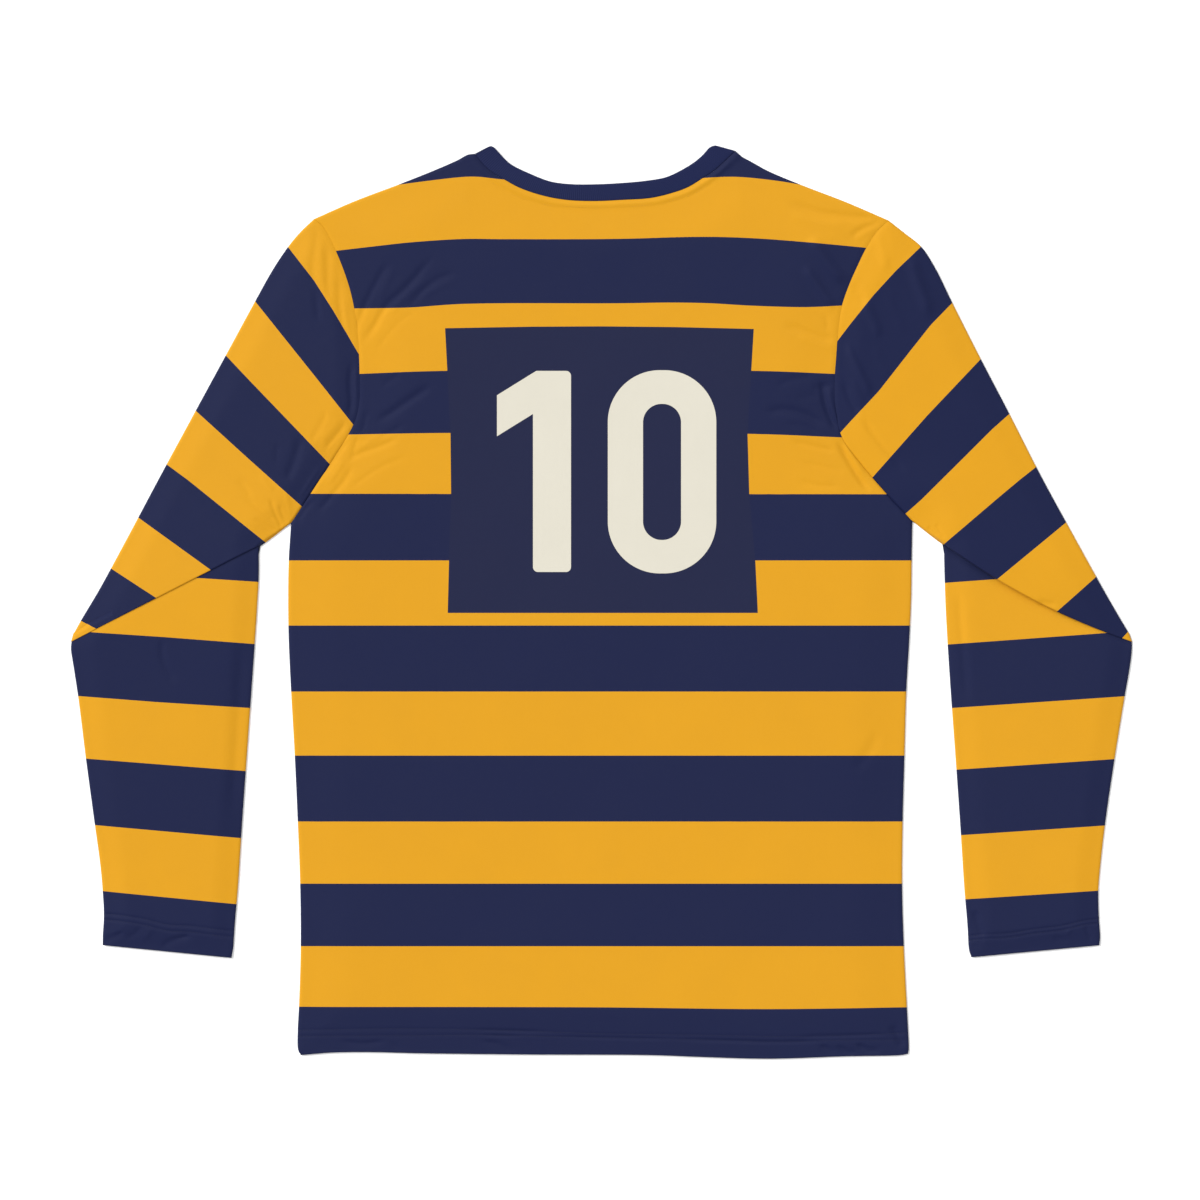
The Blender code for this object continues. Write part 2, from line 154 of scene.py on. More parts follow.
# Shares of the front neckline that face the left armhole, the underarms and the right armhole
FRONT_NECK_SHARES = (0.0, 0.42, 0.58, 1.0)
BAND_ROLL_INSET = 1.3
BACK_BAND_STEP = 3.0
FRONT_BAND_STEP = 4.0
# Rounded section of the band: share of the way from seam to free edge, and share of its thickness
BAND_SECTION = [
    (0.0, 0.35), (0.0, 0.82), (0.03, 0.95), (0.14, 1.0), (0.38, 1.0), (0.62, 1.0), (0.86, 1.0), (0.96, 0.92),
    (1.0, 0.7), (1.0, 0.35), (0.96, 0.1), (0.86, 0.0), (0.5, 0.0), (0.14, 0.0), (0.04, 0.1),
]

# Knit: the height of a course to the width of a wale, and the lean and depth of its slanted legs
COURSE_SHARE = 0.8
LEG_LEAN = 0.9
SLANT_SHARE = 0.35
RIB_WALE_SHARE = 0.8

# Stage, in metres and degrees
FLOOR_SIZE = 12.0
FLOOR_LEVEL = -0.0004
LAMP_PLACE = (-1.92, 1.33, 2.0)
LAMP_ANGLE = 40.0
CAMERA_PLACE = (-0.00167, 0.00167, 6.0)
SENSOR_WIDTH = 36.0
VIEW_WIDTH = 1.0
CLIP_END = 40.0

Station = namedtuple("Station", "left_x left_y right_x right_y")
BandStation = namedtuple("BandStation", "seam_x seam_y free_x free_y")
TurnStep = namedtuple("TurnStep", "outer_inset outer_height inner_inset inner_height")
Box = namedtuple("Box", "left right top bottom corner")
Wave = namedtuple("Wave", "length_x length_y phase_x phase_y height")
SleeveLook = namedtuple(
    "SleeveLook", "creases upper_stripes lower_stripes stitches rows_apart sag overlap ditch"
)
# A soft trough (height below 0) or ridge along its points
Crease = namedtuple("Crease", "points width height")

SIDE_SEAMS = [
    Station(-250.5, -377.5, 254.5, -376.5),
    Station(-253, -374, 255.5, -374),
    Station(-253.5, -356.5, 255, -356.5),
    Station(-252.5, -337.5, 254, -337.5),
    Station(-251, -287.5, 251.5, -287.5),
    Station(-251.5, -234.5, 250, -234.5),
    Station(-253.5, -183, 250.5, -183),
    Station(-256, -128, 252, -128),
    Station(-259, -75, 253.5, -75),
    Station(-261, -31.5, 256, -31.5),
    Station(-261.5, 1.5, 257.5, 1.5),
    Station(-261, 35, 258, 35),
    Station(-259, 66, 258.5, 67.5),
]

# From the underarm to the shoulder point
ARMHOLES = [
    Station(-259, 66, 258.5, 67.5),
    Station(-238.5, 97, 236.5, 91),
    Station(-222, 122.5, 217, 113.5),
    Station(-207, 148, 200.5, 136),
    Station(-202.5, 165, 195, 156.5),
    Station(-202, 185, 193.5, 178),
    Station(-202.5, 207, 195, 203),
    Station(-205, 236, 198.5, 241),
    Station(-210, 260.5, 204, 259.5),
    Station(-218.5, 285, 213, 280.5),
    Station(-228, 305.5, 221.5, 297.5),
    Station(-233.5, 314, 229.5, 309.5),
    Station(-240, 319, 238.5, 318),
]

# From the shoulder point to the neck
SHOULDERS = [
    Station(-240, 319, 238.5, 318),
    Station(-206, 334, 202.5, 333.5),
    Station(-169, 348, 166, 347.5),
    Station(-136.5, 361, 137.5, 359.5),
    Station(-118.5, 369, 123.5, 367.3),
    Station(-112, 372.7, 117.5, 370.3),
    Station(-106, 373.5, 111, 376),
]

# Across the back of the neck, left to right
BACK_NECK = [
    BandStation(-106, 373.5, -94.5, 379.4),
    BandStation(-103.8, 370.5, -91.8, 379.9),
    BandStation(-101.3, 367.3, -89.3, 378.2),
    BandStation(-98.5, 364, -85.5, 374),
    BandStation(-91.5, 358, -80, 368),
    BandStation(-81.5, 352, -74, 363.5),
    BandStation(-68.5, 345, -61.5, 357.5),
    BandStation(-49, 338.5, -43.5, 350.5),
    BandStation(-30, 335, -27, 348.2),
    BandStation(-6.5, 334, -6, 348),
    BandStation(16.5, 335, 15, 349),
    BandStation(40, 336.5, 37, 351),
    BandStation(57.5, 340.5, 53.5, 354),
    BandStation(71.5, 345.5, 65.5, 359.5),
    BandStation(84.5, 353.5, 77, 366.5),
    BandStation(93.5, 359.5, 84, 372.5),
    BandStation(103.5, 368.5, 90, 379),
    BandStation(111, 376, 94.5, 380.5),
]

# The neckband's turn at a shoulder, from its upper half to its lower half
BAND_TURN = [
    TurnStep(0.35, 2.35, 1.15, 1.25),
    TurnStep(0.0, 1.4, 1.05, 1.15),
    TurnStep(0.35, 0.45, 1.15, 1.05),
]

HEM = [
    (-250.5, -377.5),
    (-226.5, -375.5),
    (-195, -375),
    (-151.5, -376),
    (-60, -377),
    (40, -377.5),
    (81.5, -379),
    (139, -380.5),
    (202.5, -378.5),
    (248.5, -377.5),
    (254.5, -376.5),
]

UPPER_SLEEVE_OUTER = [
    Station(-240, 319, 238.5, 318),
    Station(-251.5, 308, 252.5, 307),
    Station(-261.5, 296, 266, 296),
    Station(-274.5, 276.5, 277.5, 278.5),
    Station(-288.5, 251.5, 291.5, 250),
    Station(-313.5, 205.5, 314.5, 204.5),
    Station(-338.5, 159.5, 338.5, 158.5),
    Station(-368, 105, 366, 104.5),
    Station(-396.5, 51.5, 395, 51.5),
    Station(-419, 10, 418, 10),
    Station(-433, -13.5, 431.5, -13.5),
    Station(-440, -26, 439, -26),
]

FOLD_OUTER = Station(-442, -33, 441.5, -33)
FOLD_INNER = Station(-286, 47, 285, 48)

LOWER_SLEEVE_OUTER = [
    Station(-442.5, -39, 441.5, -39),
    Station(-440.5, -52.5, 440, -52.5),
    Station(-436.5, -78.5, 435.5, -78.5),
    Station(-430, -130.5, 427, -131),
    Station(-422.5, -186, 419, -186),
    Station(-418, -219, 415.5, -216.5),
    Station(-416, -241, 413.5, -241),
    Station(-415, -261, 414, -263.5),
    Station(-416, -281, 415, -281),
    Station(-415.5, -286, 414, -286),
]
LOWER_SLEEVE_INNER = [
    Station(-286, 38.5, 285, 38.5),
    Station(-286, 21, 285.5, 18.5),
    Station(-287.5, -6.5, 286.5, -8.5),
    Station(-291, -58.5, 289.5, -59),
    Station(-296, -129, 294.5, -129),
    Station(-300, -186, 298.5, -186),
    Station(-303.5, -240, 302, -240),
    Station(-306, -269, 304.5, -269),
    Station(-307.5, -290, 306, -291),
    Station(-309, -296.5, 308, -296),
]

# Edges between stripes on the body, each from left to right, from the shoulders down
BODY_STRIPES = [
    [
        (-168.4, 347.7), (-146.8, 350.6), (-114.8, 354.1), (-103.3, 354.2), (-81.7, 351.9),
        (-1.7, 349.2), (85, 353.2), (106.7, 354.2), (122, 353.5), (147.5, 350.6), (165.3, 347.7),
    ],
    [
        (-221.7, 292.5), (-185, 296.8), (-159.5, 299.6), (-114.8, 302.4), (-82.9, 302.2), (14, 302.5),
        (70.8, 304.1), (96.5, 304.1), (134.8, 302.5), (181.7, 298.7), (220.5, 295),
    ],
    [
        (-207.2, 244.6), (-185, 244.8), (-159.5, 245.3), (-114.8, 248.3), (15, 248.8), (58.2, 249.4),
        (90, 248.8), (122, 246.9), (164.1, 245.6), (181.7, 246), (201, 247.1),
    ],
    [(-202.1, 190), (-130.8, 192.5), (127.5, 192.5), (194.4, 190)],
    [(-211.2, 139.5), (-126.7, 140.8), (123.3, 140), (199.3, 137.1)],
    [(-242.7, 90.2), (237.5, 89.8)],
    [(-260, 34.6), (255, 34.6)],
    [(-260, -19.6), (255, -19.6)],
    [(-260, -74.6), (255, -74.6)],
    [(-260, -127.9), (255, -127.9)],
    [(-260, -182.9), (255, -182.9)],
    [(-260, -234.6), (255, -234.6)],
    [(-260, -286.7), (255, -286.7)],
    [(-260, -337.1), (-1.7, -337.5), (139.2, -339), (255, -337.5)],
]

# Edges between stripes on the sleeves, each from the outer edge inwards, from the cap down
LEFT_UPPER_STRIPES = [
    [(-261.7, 295.8), (-240, 267.9), (-223.3, 241.7), (-203.3, 207.5)],
    [(-288.3, 249.6), (-240, 189.2), (-207.3, 147.9)],
    [(-313.3, 205.4), (-293.3, 184.2), (-226.9, 115.1)],
    [(-338.3, 159.2), (-293.3, 118.3), (-250.1, 79.7)],
    [(-362.1, 114.2), (-345, 101.7), (-281.7, 50.8)],
    [(-385.8, 70), (-325.8, 26.7)],
    [(-408.3, 27.5), (-372.5, 4.2)],
    [(-433.8, -15.8), (-422.2, -21.7)],
]
RIGHT_UPPER_STRIPES = [
    [(266, 296.2), (244.9, 276), (225.8, 255.2), (206.7, 231.3), (196.2, 217.5)],
    [(291.5, 248.9), (273.7, 230.6), (252.9, 204.2), (230.6, 175.6), (206.7, 150.1), (198.3, 140.8)],
    [(315.4, 202.3), (270.4, 154.8), (226, 104.5)],
    [(339, 156.4), (324.7, 143.7), (302.3, 121.3), (265.7, 85), (252.9, 73.6)],
    [(361.7, 112.6), (347.8, 101.7), (327.8, 85), (285.1, 48.6)],
    [(386.5, 66.2), (329.1, 19.1)],
    [(410.8, 20.3), (378.3, -8.3)],
    [(437.8, -25.1), (433.1, -30.3)],
]
LEFT_LOWER_STRIPES = [
    [(-337.1, 20), (-286.2, 16.7)],
    [(-441.7, -25), (-427.5, -25), (-364.2, -29.2), (-289.2, -35)],
    [(-436.7, -78.3), (-371.7, -83.3), (-293, -88.3)],
    [(-430, -130.4), (-296.7, -140.8)],
    [(-422.5, -185.8), (-300.8, -196.7)],
    [(-415.8, -240.8), (-304.2, -251.7)],
]
RIGHT_LOWER_STRIPES = [
    [(329.1, 19.1), (285.6, 15.9)],
    [(439.2, -24.2), (419.5, -25.8), (287.8, -35.4)],
    [(435.6, -78.5), (291.7, -88.3)],
    [(427.2, -130.8), (295.3, -139.6)],
    [(418.8, -186.2), (299.2, -194.2)],
    [(413.9, -240.4), (302.7, -247.6)],
]

# Width of the stripes beyond the last edges, how far a sleeve's edges run on, and the least width
STRIPE_WIDTH = 55.0
LINE_EXTENSION = 300.0
LEAST_STRIPE = 1e-6

# Edges of the number block on the back, each from top to bottom, and its top and bottom
BLOCK_LEFT = [(-130.7, 228), (-128.9, 193.7), (-126.2, 141.2), (-125.7, 89.8), (-127.4, 34.1), (-128.5, -9.1)]
BLOCK_RIGHT = [(126.4, 227.4), (124.3, 191.8), (121.2, 140), (122.7, 89.2), (127.7, 34.2), (129.8, -9.1)]
BLOCK_TOP = [(-130.8, 228), (-60, 229.3), (-1.7, 229.6), (60, 229), (126.4, 227.4)]
BLOCK_BOTTOM = -9.1

# Strokes of the figures, and the flag of the 1: its reach across, its slope and its band
ONE_STEM = Box(-57.5, -25.83, 192.5, 25.0, 4.17)
ONE_FLAG = (-87.5, -41.67)
ONE_SLOPE = 0.62
ONE_SLOPE_BAND = (192.28, 226.45)
NOUGHT_OUTSIDE = Box(4.83, 95.17, 193.08, 23.83, 43.33)
NOUGHT_INSIDE = Box(34.17, 65.83, 165.0, 51.67, 15.42)

# Lines of stitching along the hem, the cuffs and under the neckband
HEM_STITCHES = [
    [
        (-252.5, -356.7), (-168.3, -355.4), (-101.7, -356.3), (-47.5, -357.9), (-1.7, -359.6), (81.7, -360.8),
        (156.7, -362), (190, -361.3), (231.7, -360), (253.5, -358.8),
    ],
    [
        (-252.5, -361.7), (-168.3, -361.2), (-101.7, -360.8), (-39.2, -362.1), (-1.7, -362.9), (81.7, -364.6),
        (148.3, -366.5), (190, -365.2), (253.5, -364.8),
    ],
]
LEFT_CUFF_STITCHES = [
    (-414.5, -259.8), (-401.7, -260.8), (-380.8, -264.2), (-361.7, -268.8), (-341.7, -270), (-322.5, -272.5),
    (-307.2, -274.2),
]
RIGHT_CUFF_STITCHES = [
    (413.3, -264.2), (402.5, -265.4), (381.7, -270), (360.8, -272.5), (338.3, -276), (319.2, -276.9),
    (306.2, -278.3),
]
COLLAR_STITCHES = [
    (-94.2, 350.8), (-82.5, 344.2), (-68.3, 336.7), (-45.8, 330.8), (-26.7, 329.2), (-1.7, 328.3),
    (31.7, 330), (48.3, 331.7), (60.8, 335), (75, 339.2), (88.3, 346.7), (93.3, 350),
]

BODY_CREASES = [
    Crease([(-176, 286), (-188.5, 265), (-201.5, 237), (-205, 222)], 2.4, -0.75),
    Crease([(-172, 281), (-180, 264), (-186, 251)], 2.2, 0.25),
    Crease([(-138, 291), (-164, 261), (-179, 247.5), (-190, 229), (-202, 212)], 2.5, -0.9),
    Crease([(-142, 271), (-157, 260.5), (-167, 251), (-178, 236)], 2.2, 0.3),
    Crease([(-119, 275), (-136.5, 269), (-151, 257.5), (-163, 243)], 2.2, -0.65),
    Crease([(-122, 268.5), (-139, 260.5), (-153, 251.5)], 2.2, 0.25),
    Crease([(-150, 246), (-170, 232), (-190, 207)], 1.8, -0.3),
    Crease([(-140, 181.5), (-160, 168.5), (-178, 156), (-190, 150)], 3.2, -0.95),
    Crease([(-166, 191), (-176, 185), (-184, 179)], 2, -0.4),
    Crease([(-164, 149), (-174, 142.5), (-186, 137.5)], 2, -0.35),
    Crease([(-196, 160), (-197.5, 150), (-200, 140)], 1.9, -0.45),
    Crease([(-183, 138), (-193, 134.5), (-201, 128)], 2, 0.3),
    Crease([(-168, 137), (-188, 128.5), (-205, 122), (-212, 115)], 2.2, -0.65),
    Crease([(-203.5, 138), (-206, 129), (-208.5, 119)], 1.8, -0.5),
    Crease([(-210, 137), (-217.5, 126), (-226, 113), (-234, 101)], 2, -0.75),
    Crease([(-207, 116), (-214, 102), (-225, 88.5), (-238, 73)], 2.5, -0.65),
    Crease([(-214, 120), (-221, 108.5), (-229, 97)], 1.9, 0.35),
    Crease([(-160, 122), (-185, 112), (-212, 93)], 2, -0.3),
    Crease([(-242, 85), (-249, 75), (-256, 65)], 2.1, -0.8),
    Crease([(152, 336), (166, 329), (182, 324), (207, 321), (223, 320), (237, 317)], 2.9, -0.95),
    Crease([(154, 323), (178, 316), (205, 312.5)], 4, 0.5),
    Crease([(206, 303), (218, 311.5), (234, 317)], 2.1, -0.8),
    Crease([(211, 301.5), (219, 307), (226, 310.5)], 1.9, 0.3),
    Crease([(172, 305), (180, 293), (191, 278), (203, 265)], 4.8, 1.6),
    Crease([(167, 281), (179, 264), (195, 242)], 3.2, 1.3),
    Crease([(149, 231), (167.5, 226), (184, 220), (196, 217.5)], 2.6, -0.75),
    Crease([(184, 240), (187.5, 233), (186.5, 225)], 2, -0.4),
    Crease([(162, 221.5), (178, 216), (194, 208.5)], 3, 0.4),
    Crease([(144, 179.5), (159, 185.5), (178, 189)], 2.4, -0.5),
    Crease([(174, 177), (183.5, 179.5), (193, 181.5)], 2, -0.6),
    Crease([(161, 170), (172, 171.5), (182, 172.5)], 1.9, -0.35),
    Crease([(134, 158), (150, 160), (162, 158.5), (175, 153.5), (187, 145.5)], 2.9, -1),
    Crease([(182.5, 186), (187, 162), (196.5, 141)], 2.4, -1.4),
    Crease([(188.5, 180), (192, 161.5), (198, 147)], 2, 0.6),
    Crease([(150, 147), (168, 147), (186, 139)], 2, -0.3),
    Crease([(157, 134), (175, 130), (196, 125)], 2.2, -0.65),
    Crease([(195.5, 137), (203.5, 121), (215, 102), (224, 91)], 2.4, -1.4),
    Crease([(201, 133), (209.5, 120), (219, 104)], 2, 0.6),
    Crease([(165, 116.5), (182, 113), (203, 108)], 2, -0.3),
    Crease([(163, 101.5), (180, 97), (199, 96.5)], 2.3, -0.5),
    Crease([(231, -109), (221, -126.5), (208.5, -141)], 4, -0.7),
    Crease([(-218, -365.5), (-199, -368), (-180, -365.5)], 2, -0.6),
    Crease([(-175, -366.5), (-171.5, -370), (-168.5, -374)], 1.7, -0.4),
    Crease([(-98, -365), (-85, -369), (-73.5, -376)], 1.9, -0.9),
    Crease([(182, -369), (188.5, -372.5), (195, -376)], 1.7, -1),
    Crease([(195, -370), (203.5, -374), (213, -377)], 1.8, -1.2),
    Crease([(211.5, -367.5), (220, -372.5), (232, -374.5)], 1.9, -1.2),
    Crease([(241, -352), (246.5, -362), (250.5, -372)], 2.8, -1),
    Crease([(-108, -356.3), (-80, -357), (-48, -358)], 1.4, -0.45),
    Crease([(-102, -360.8), (-85, -361.2), (-68, -361.8)], 1.4, -0.4),
    Crease([(-40, -362.1), (0, -362.9), (60, -364.2)], 1.5, -0.35),
    Crease([(60, -364.2), (110, -365.6), (150, -366.5), (190, -365.4)], 1.6, -0.55),
    Crease([(160, -362.2), (195, -361.4), (238, -360)], 1.5, -0.45),
]
LEFT_SLEEVE_CREASES = [
    Crease([(-237, 318), (-239, 298), (-241, 280), (-240, 262)], 2.3, -0.8),
    Crease([(-234.5, 304), (-233.5, 283), (-232.5, 262)], 2.1, 0.35),
    Crease([(-230, 297), (-229, 283), (-229, 268), (-226, 250)], 2, -0.6),
    Crease([(-223.5, 292), (-223.5, 277), (-224, 260)], 2, 0.3),
    Crease([(-219, 270), (-219, 253), (-217, 236), (-213, 222)], 2.3, -0.65),
    Crease([(-214.5, 254), (-213.5, 239), (-211, 224)], 2, 0.3),
    Crease([(-239, 261), (-237.5, 247.5), (-236.5, 233)], 2.4, -0.7),
    Crease([(-208, 201), (-210, 183), (-209, 165), (-212, 152)], 2.5, -0.8),
    Crease([(-205, 197), (-205, 181), (-205, 165)], 1.9, 0.3),
    Crease([(-212, 151), (-222, 138), (-232, 126.5)], 2.1, -0.65),
    Crease([(-228, 160), (-236, 144), (-243, 133)], 2.3, -0.5),
    Crease([(-218.5, 152), (-227.5, 141.5), (-235, 133)], 1.9, 0.3),
    Crease([(-250, 140), (-255, 121), (-263.5, 99)], 3.6, -0.9),
    Crease([(-270, 133), (-271, 124), (-271, 115)], 2.4, -0.4),
    Crease([(-234, 114), (-245, 97.5), (-253, 85)], 1.9, 0.3),
    Crease([(-277, 88), (-271.5, 72), (-264.5, 59)], 2, -0.6),
    Crease([(-269, 82), (-265, 70), (-260, 61)], 2, -0.45),
    Crease([(-298, 88), (-284, 75.5), (-270, 66)], 2.3, -0.5),
    Crease([(-291, 71), (-280, 63.5), (-269, 57)], 2, -0.4),
    Crease([(-303, 103), (-296.5, 94), (-293, 86)], 2.6, -0.4),
    Crease([(-283, 107), (-280, 98.5), (-273, 93)], 2.4, 0.3),
    Crease([(-263.5, 94), (-261.5, 81), (-258, 71)], 2.1, 0.3),
    Crease([(-367, -29), (-365, -50), (-354, -69)], 2.5, -0.65),
    Crease([(-300.5, -25), (-303.5, -98), (-309.5, -185)], 4.2, -0.5),
    Crease([(-417, -283), (-408.5, -279.5), (-398, -275)], 2.3, -0.75),
    Crease([(-368, -288.5), (-358.5, -282), (-341, -277.5)], 2.1, -0.85),
    Crease([(-396.5, -280), (-388.5, -276), (-383, -269)], 2.2, -0.4),
    Crease([(-386, -282.5), (-379, -277.5), (-375, -271)], 2.2, 0.35),
]
RIGHT_SLEEVE_CREASES = [
    Crease([(230, 308), (233, 292.5), (238, 276)], 2.4, 0.85),
    Crease([(250, 308), (256, 300.5), (261.5, 293)], 2.8, -0.45),
    Crease([(208, 266), (213.5, 258), (220, 249)], 2.2, -0.7),
    Crease([(215.5, 264), (221, 257.5), (225, 252)], 1.9, 0.3),
    Crease([(255.5, 290), (262, 270), (269.5, 249), (274, 236)], 3.8, 1.6),
    Crease([(218, 252), (225, 236), (232, 220)], 3.1, 1.2),
    Crease([(202.5, 216), (212.5, 195), (225, 171)], 2.7, 1.3),
    Crease([(236, 262), (244, 240), (253, 222)], 3.4, 0.35),
    Crease([(226, 214), (233, 198), (241, 186)], 3.2, 0.3),
    Crease([(200.5, 184), (206.5, 168.5), (214, 155)], 2.3, -0.9),
    Crease([(208, 188), (213.5, 174), (219, 163)], 2, 0.35),
    Crease([(215, 155.5), (228, 137), (241, 121.5), (255, 108)], 2.6, -0.85),
    Crease([(270.5, 63), (275, 58.5), (279.5, 54)], 2, -0.5),
    Crease([(278, 66), (281.5, 58.5), (286, 52)], 2, -0.35),
    Crease([(363, 0.5), (370, -1), (378, -2)], 2, -0.8),
    Crease([(296.5, 14), (299, -23), (304.5, -85)], 3.3, -0.7),
    Crease([(310, -256), (313.5, -268.5), (317.5, -279)], 2.8, -0.65),
    Crease([(308, -287), (313.5, -285), (319, -282)], 2.2, -0.5),
    Crease([(402.5, -269), (405, -276), (408, -283)], 2, -0.6),
    Crease([(375.5, -279.5), (381.5, -281), (388.5, -282)], 2, -0.55),
    Crease([(386, -278.5), (389, -274), (391.5, -269.5)], 1.9, 0.35),
]

# Waves of the cloth: wavelengths along two directions, phases and height
WAVES = [
    Wave(231.0, 327.0, 1.3, 0.4, 0.22),
    Wave(142.0, 189.0, 2.1, 2.6, 0.14),
    Wave(83.0, 118.0, 0.2, 4.0, 0.07),
]
WAVE_REACH = 35.0
WAVE_SWAY = 0.6
SLEEVE_WAVES = 0.8
CREASE_REACH = 4.0
CREASE_EDGE_REACH = 3.0
CREASE_FADE = 4.5

LEFT_SLEEVE = SleeveLook(
    creases=LEFT_SLEEVE_CREASES,
    upper_stripes=LEFT_UPPER_STRIPES,
    lower_stripes=LEFT_LOWER_STRIPES,
    stitches=LEFT_CUFF_STITCHES,
    rows_apart=5.0,
    sag=0.0,
    overlap=1.0,
    ditch=0.25,
)
RIGHT_SLEEVE = SleeveLook(
    creases=RIGHT_SLEEVE_CREASES,
    upper_stripes=RIGHT_UPPER_STRIPES,
    lower_stripes=RIGHT_LOWER_STRIPES,
    stitches=RIGHT_CUFF_STITCHES,
    rows_apart=3.5,
    sag=7.0,
    overlap=3.2,
    ditch=1.4,
)


def settings():
    return bpy.context.scene.jersey


def colour_setting(name, description, default):
    return FloatVectorProperty(name=name, description=description, subtype="COLOR", size=3, default=default)


def number_setting(name, description, default, least, most):
    return FloatProperty(name=name, description=description, default=default, min=least, max=most)


class JerseySettings(PropertyGroup):
    """Sizes and colours that a user would change."""

    yellow: colour_setting("Yellow", "Yellow stripes", (0.524, 0.243, 0.0046))
    navy: colour_setting("Navy", "Navy stripes", (0.0030, 0.0064, 0.0385))
    block: colour_setting("Block", "Number block", (0.0056, 0.0082, 0.0362))
    figures: colour_setting("Figures", "Figures of the number", (0.518, 0.492, 0.415))
    wall: number_setting("Cloth wall", "Thickness of the shown cloth, in mm", 0.45, 0.2, 0.9)
    grid: number_setting("Grid", "Spacing of the cloth's grid, in mm", 2.3, 2.1, 12.0)
    wale: number_setting("Wale", "Width of a knitted wale, in mm", 0.9, 0.4, 3.0)
    rib: number_setting("Rib", "Width of the neckband's rib, in mm", 1.6, 0.8, 4.0)
    stitch: number_setting("Stitch", "Length of a sewn stitch, in mm", 2.6, 1.5, 5.0)
    light: number_setting("Soft light", "Strength of the light all round", 0.89, 0.0, 3.0)
    lamp: number_setting("Lamp", "Strength of the lamp", 3.62, 0.0, 20.0)


# Paths and grids


def unit(vectors):
    return vectors / np.linalg.norm(vectors, axis=-1, keepdims=True)


def square_to(run, upward):
    """Unit vector square to a run, up the plan or down it."""
    normal = unit(np.array([-run[1], run[0]]))
    return normal if (normal[1] > 0.0) == upward else -normal


def smooth_step(share):
    clipped = np.clip(share, 0.0, 1.0)
    return clipped * clipped * (3.0 - 2.0 * clipped)


def bell(distances, width):
    """1 on a line, fading away over its width to both sides."""
    return np.exp(-((distances / width) ** 2))


def side_points(stations, left):
    if left:
        return np.array([(s.left_x, s.left_y) for s in stations], float)
    return np.array([(s.right_x, s.right_y) for s in stations], float)


def side_paths(stations):
    """Curves through the left and the right points of some stations."""
    return [smooth_path(side_points(stations, left)) for left in (True, False)]


def smooth_path(points, steps=12):
    """Curve through the points, with its chords cut into short steps."""
    points = np.asarray(points, float)
    if len(points) < 3:
        shares = np.linspace(0.0, 1.0, steps + 1)[:, None]
        return points[0] + shares * (points[-1] - points[0])
    padded = np.vstack([2 * points[0] - points[1], points, 2 * points[-1] - points[-2]])
    chords = np.linalg.norm(np.diff(padded, axis=0), axis=1)
    knots = np.concatenate([[0.0], np.cumsum(np.sqrt(chords))])
    pieces = []
    for index in range(1, len(padded) - 2):
        t0, t1, t2, t3 = knots[index - 1 : index + 3]
        p0, p1, p2, p3 = padded[index - 1 : index + 3]
        t = np.linspace(t1, t2, steps + 1)[:-1, None]
        a1 = (t1 - t) / (t1 - t0) * p0 + (t - t0) / (t1 - t0) * p1
        a2 = (t2 - t) / (t2 - t1) * p1 + (t - t1) / (t2 - t1) * p2
        a3 = (t3 - t) / (t3 - t2) * p2 + (t - t2) / (t3 - t2) * p3
        b1 = (t2 - t) / (t2 - t0) * a1 + (t - t0) / (t2 - t0) * a2
        b2 = (t3 - t) / (t3 - t1) * a2 + (t - t1) / (t3 - t1) * a3
        pieces.append((t2 - t) / (t2 - t1) * b1 + (t - t1) / (t2 - t1) * b2)
    pieces.append(points[-1:])
    return np.vstack(pieces)


def path_lengths(path):
    return np.concatenate([[0.0], np.cumsum(np.linalg.norm(np.diff(path, axis=0), axis=1))])


def at_shares(path, shares):
    """Points at shares of a path's length."""
    lengths = path_lengths(path)
    wanted = np.asarray(shares) * lengths[-1]
    return np.column_stack([np.interp(wanted, lengths, path[:, 0]), np.interp(wanted, lengths, path[:, 1])])


def shares_along(length, step, start=(0.0,), end=(0.0,)):
    """Shares of a length: close together at the ends, where insets are given, and evenly between."""
    first, last = max(start), length - max(end)
    count = max(2, int(round((last - first) / step)))
    even = np.linspace(first, last, count + 1)
    everything = np.concatenate([np.array(start), even, length - np.array(end)])
    return np.unique(np.round(everything, 4)) / length


def path_normals(path):
    """Unit normals to the left of an open path, at its points."""
    directions = unit(np.diff(path, axis=0))
    tangents = unit(np.vstack([directions[:1], directions]) + np.vstack([directions, directions[-1:]]))
    return np.column_stack([-tangents[:, 1], tangents[:, 0]])


def nearest(points, path):
    """Signed distance of each point to a path, above 0 to its left, and its share of the way along."""
    starts, runs = path[:-1], np.diff(path, axis=0)
    squares = (runs * runs).sum(-1)
    lengths = path_lengths(path)
    distances = np.empty(len(points))
    along = np.empty(len(points))
    for first in range(0, len(points), POINTS_AT_ONCE):
        part = slice(first, first + POINTS_AT_ONCE)
        offsets = points[part, None, :] - starts[None]
        shares = np.clip((offsets * runs).sum(-1) / squares, 0.0, 1.0)
        far = np.linalg.norm(offsets - shares[..., None] * runs, axis=-1)
        best = far.argmin(axis=1)
        rows = np.arange(len(best))
        cross = runs[best, 0] * offsets[rows, best, 1] - runs[best, 1] * offsets[rows, best, 0]
        distances[part] = np.where(cross < 0.0, -1.0, 1.0) * far[rows, best]
        along[part] = (lengths[best] + shares[rows, best] * np.sqrt(squares[best])) / lengths[-1]
    return distances, along


def distance(points, *paths):
    """Distance of each point to the nearest of the paths."""
    return np.min([np.abs(nearest(points, path)[0]) for path in paths], axis=0)


